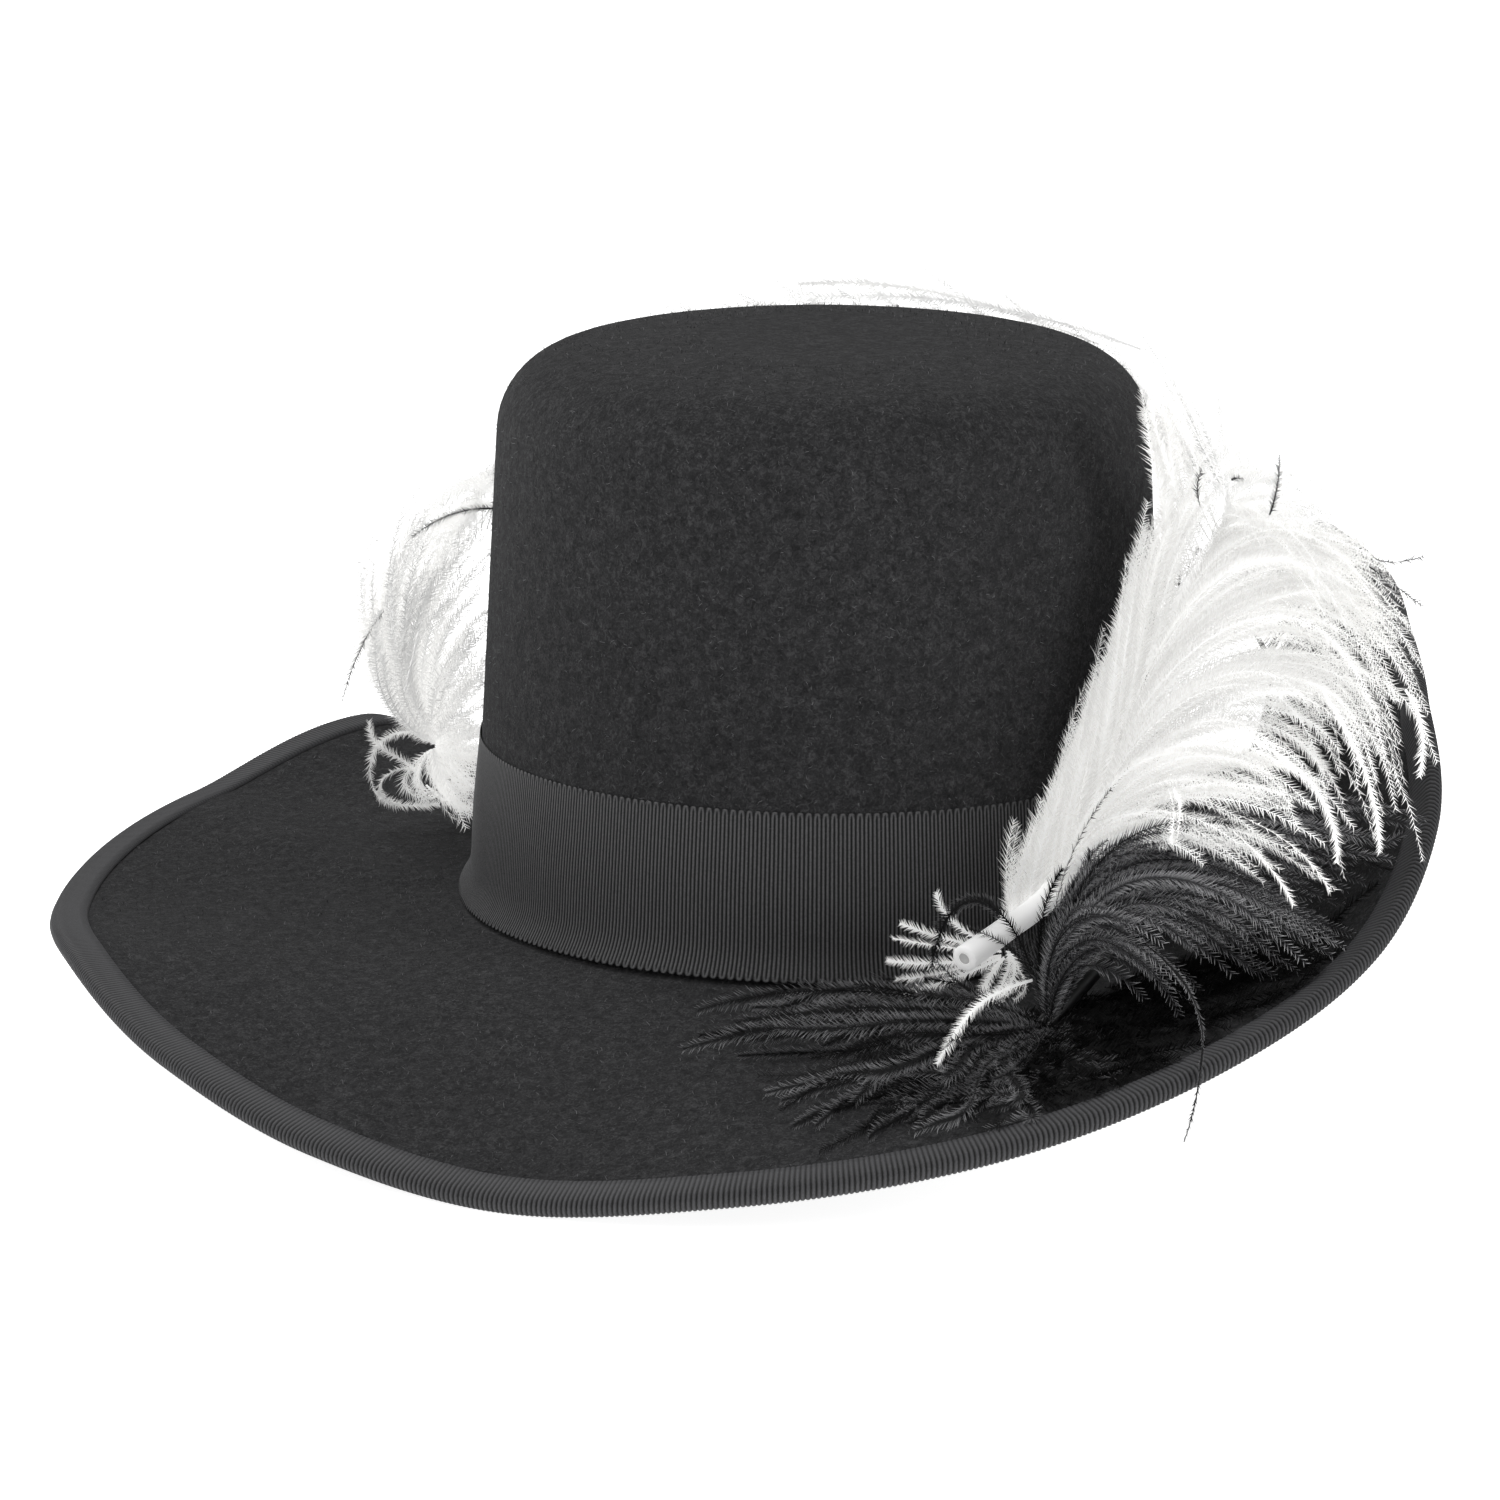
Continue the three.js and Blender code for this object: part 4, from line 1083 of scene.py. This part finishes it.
def photo_camera():
    """The camera that took the photograph, aimed past the origin from in front."""
    azimuth, elevation, roll = radians(1.449), radians(11.844), radians(0.208)
    distance, aside, above = 1.562944, -0.017581, 0.03402
    photo_width_pixels, focal_length_pixels = 1500, 6280.381
    back = Vector((sin(azimuth) * cos(elevation), -cos(azimuth) * cos(elevation), sin(elevation)))
    level_right = Vector((0, 0, 1)).cross(back).normalized()
    level_up = back.cross(level_right)
    right = level_right * cos(roll) + level_up * sin(roll)
    up = level_up * cos(roll) - level_right * sin(roll)
    camera = bpy.data.cameras.new("photo_camera")
    camera.sensor_width = 36.0
    camera.lens = camera.sensor_width * (focal_length_pixels / photo_width_pixels)
    camera.clip_end = 20.0
    holder = bpy.data.objects.new("photo_camera", camera)
    place = Matrix.Translation(back * distance + right * aside + up * above)
    holder.matrix_world = place @ Matrix((right, up, back)).transposed().to_4x4()
    bpy.context.scene.collection.objects.link(holder)
    bpy.context.scene.camera = holder


def soft_light(name, place, size, power):
    """A round lamp aimed at the middle of the hat."""
    middle = Vector((0, 0, 0.06))
    lamp = bpy.data.lights.new(name, "AREA")
    lamp.shape = "DISK"
    lamp.size = size
    lamp.energy = power
    holder = bpy.data.objects.new(name, lamp)
    holder.location = place
    holder.rotation_euler = (middle - Vector(place)).to_track_quat("-Z", "Y").to_euler()
    bpy.context.scene.collection.objects.link(holder)


def studio():
    """A white floor, lit from within so that shadows on it stay faint, under soft light."""
    floor_size, floor_gap, sky_strength = 14.0, 0.0002, 0.38
    deselect_all()
    bpy.ops.mesh.primitive_plane_add(size=floor_size, location=(0, 0, cad_box[0][2] - floor_gap))
    floor = bpy.context.object
    floor.name = "floor"
    material, _, shader = new_material("white studio floor", roughness=0.9, specular=0.0, glow=0.9)
    shader.inputs["Base Color"].default_value = srgb("#f2f2f2")
    floor.data.materials.append(material)
    world = bpy.data.worlds.new("studio")
    world.use_nodes = True
    world.node_tree.nodes["Background"].inputs["Color"].default_value = srgb("#ffffff")
    world.node_tree.nodes["Background"].inputs["Strength"].default_value = sky_strength
    bpy.context.scene.world = world
    soft_light("key", (-1.1, -1.3, 1.4), size=0.9, power=11)
    soft_light("fill", (1.5, -0.8, 0.9), size=0.9, power=13)
    soft_light("side", (-1.7, 0.3, 0.6), size=0.7, power=3)
    soft_light("top", (-0.7, 0.6, 1.5), size=1.2, power=17)
    bpy.context.scene.view_settings.view_transform = "Standard"


# The hat's pieces

def felt_body():
    dress(make_felt(), wool_felt(), "felt_hat_body")
    hair = nap_hair()
    crown_nap = felt_hairs("crown_nap", crown_surface, count=13000, near=0.03, far=0.99)
    dress(crown_nap, hair, "felt_hat_body")
    brim_nap = felt_hairs("brim_nap", brim_surface, count=17000, near=0.02, far=0.92)
    dress(brim_nap, hair, "felt_hat_body")


def ribbons():
    # Groove colours are painted shade between the cords, the brightest ones a painted sheen on the cord tops
    band_weave = petersham("band petersham", groove="#020202", cord="#1e1e1f", painted_rib_sheen="#545455")
    dress(make_band(), band_weave, "crown_band")
    binding_weave = petersham("binding petersham", groove="#0d0d0d", cord="#2a2a2b", painted_rib_sheen="#464648")
    dress(make_binding(), binding_weave, "brim_binding")


def quills():
    # The first stop of each quill's colours is painted shade in the pith hole
    white_stops = [(0.4, "#3c3934"), (0.55, "#efeeec"), (0.85, "#ffffff")]
    # The glow is painted light that stands in for light passing through the quill's wall
    white_horn = quill_horn("white quill horn", white_stops, glow=0.3)
    white_shaft = make_shaft("white_quill", WHITE_SHAFT, WHITE_QUILL_RADIUS)
    dress(white_shaft, white_horn, "white_plume")
    black_stops = [(0.4, "#050505"), (0.65, "#0e0e0f"), (0.85, "#1c1c1d")]
    black_horn = quill_horn("black quill horn", black_stops)
    black_shaft = make_shaft("black_quill", BLACK_SHAFT, BLACK_QUILL_RADIUS)
    dress(black_shaft, black_horn, "black_plume")


def white_barbs():
    # White at the shaft, greyer at the barbule tips: painted shade that parts the strands
    stops = [(0.1, "#fcfcfb"), (0.8, "#d2d1cf")]
    # Both white materials glow with painted light that lifts their shades; the copy with the stronger glow
    # is painted backlight for the pieces behind the crown, the tuft and the strays
    barb = ostrich("white ostrich barbs", 0.6, stops, glow=0.18)
    painted_backlight_barb = ostrich("white ostrich barbs with painted backlight glow", 0.6, stops, glow=0.25)
    # Name: material, centre lines, length and spacing of the barbules
    fans = {
        "white_front_barbs": (barb, fan_lines(WHITE_FAN, 4.0, depth=14.0), 3.3, 0.4),
        "white_fringe_barbs": (barb, fan_lines(WHITE_FRINGE, 1.6, tuft_size=1), 3.6, 0.35),
        "white_back_barbs": (painted_backlight_barb, fan_lines(WHITE_BACK, 3.0), 3.0, 0.5),
        "white_back_fringe_barbs": (painted_backlight_barb, fan_lines(WHITE_BACK_FRINGE, 2.0), 2.8, 0.5),
        "white_tuft_barbs": (painted_backlight_barb, fan_lines(WHITE_TUFT, 4.0, tuft_size=3), 3.3, 0.4),
    }
    for name, (material, lines, length, spacing) in fans.items():
        dress(barb_mesh(name, lines, length, spacing), material, "white_plume")
    strays = stray_lines(WHITE_STRAYS)
    piece = barb_mesh("white_stray_barbs", strays, 2.6, 0.2, barbule_width=0.5, rachis=0.33)
    dress(piece, painted_backlight_barb, "white_plume")


def black_barbs():
    # One black barb material in two copies: this paler lit copy for the standing fountain and back, a darker
    # copy in painted shade for the barbs low over the brim
    barb = ostrich("black ostrich barbs", 0.6, [(0.15, "#0d0d0e"), (0.45, "#3e3e40"), (0.85, "#cacacc")])
    shaded_black_stops = [(0.15, "#050505"), (0.5, "#1e1e1f"), (0.85, "#a0a0a2")]
    shaded_black_barb = ostrich("black ostrich barbs in painted shade", 0.6, shaded_black_stops)
    # Near-black barbs that paint the shadow on the brim under the plume's arch
    painted_shadow_barb = ostrich("black barbs painted as shadow", 0.5, [(0.2, "#030303"), (0.8, "#0b0b0b")])
    fountain = fan_lines(BLACK_FOUNTAIN, 5.5, depth=8.0, tuft_size=3)
    spray = fan_lines(BLACK_FAN, 6.0, tuft_size=2, shortest=0.5, curl=4.5)
    # Name: material, centre lines, length and spacing of the barbules
    fans = {
        "black_front_barbs": (barb, fountain, 3.2, 0.38),
        "black_brim_barbs": (shaded_black_barb, spray, 3.8, 0.3),
        "black_back_barbs": (barb, fan_lines(BLACK_BACK, 4.0), 3.0, 0.5),
        "black_frond_barbs": (shaded_black_barb, stray_lines(BLACK_FRONDS), 3.2, 0.2),
        "black_stray_barbs": (shaded_black_barb, stray_lines(BLACK_STRAYS), 2.2, 0.3),
    }
    for name, (material, lines, length, spacing) in fans.items():
        dress(barb_mesh(name, lines, length, spacing), material, "black_plume")
    # The painted shadow under the plume's arch
    dress(barb_mesh("black_shadow_barbs", brim_shadow_barbs(300), 3.4, 0.3), painted_shadow_barb, "black_plume")
    strand = stray_lines(BLACK_LONG_STRAND)
    piece = barb_mesh("black_long_strand", strand, 1.5, 0.2, barbule_width=0.5, rachis=0.55)
    dress(piece, shaded_black_barb, "black_plume")


photo_camera()
studio()
felt_body()
ribbons()
quills()
white_barbs()
black_barbs()
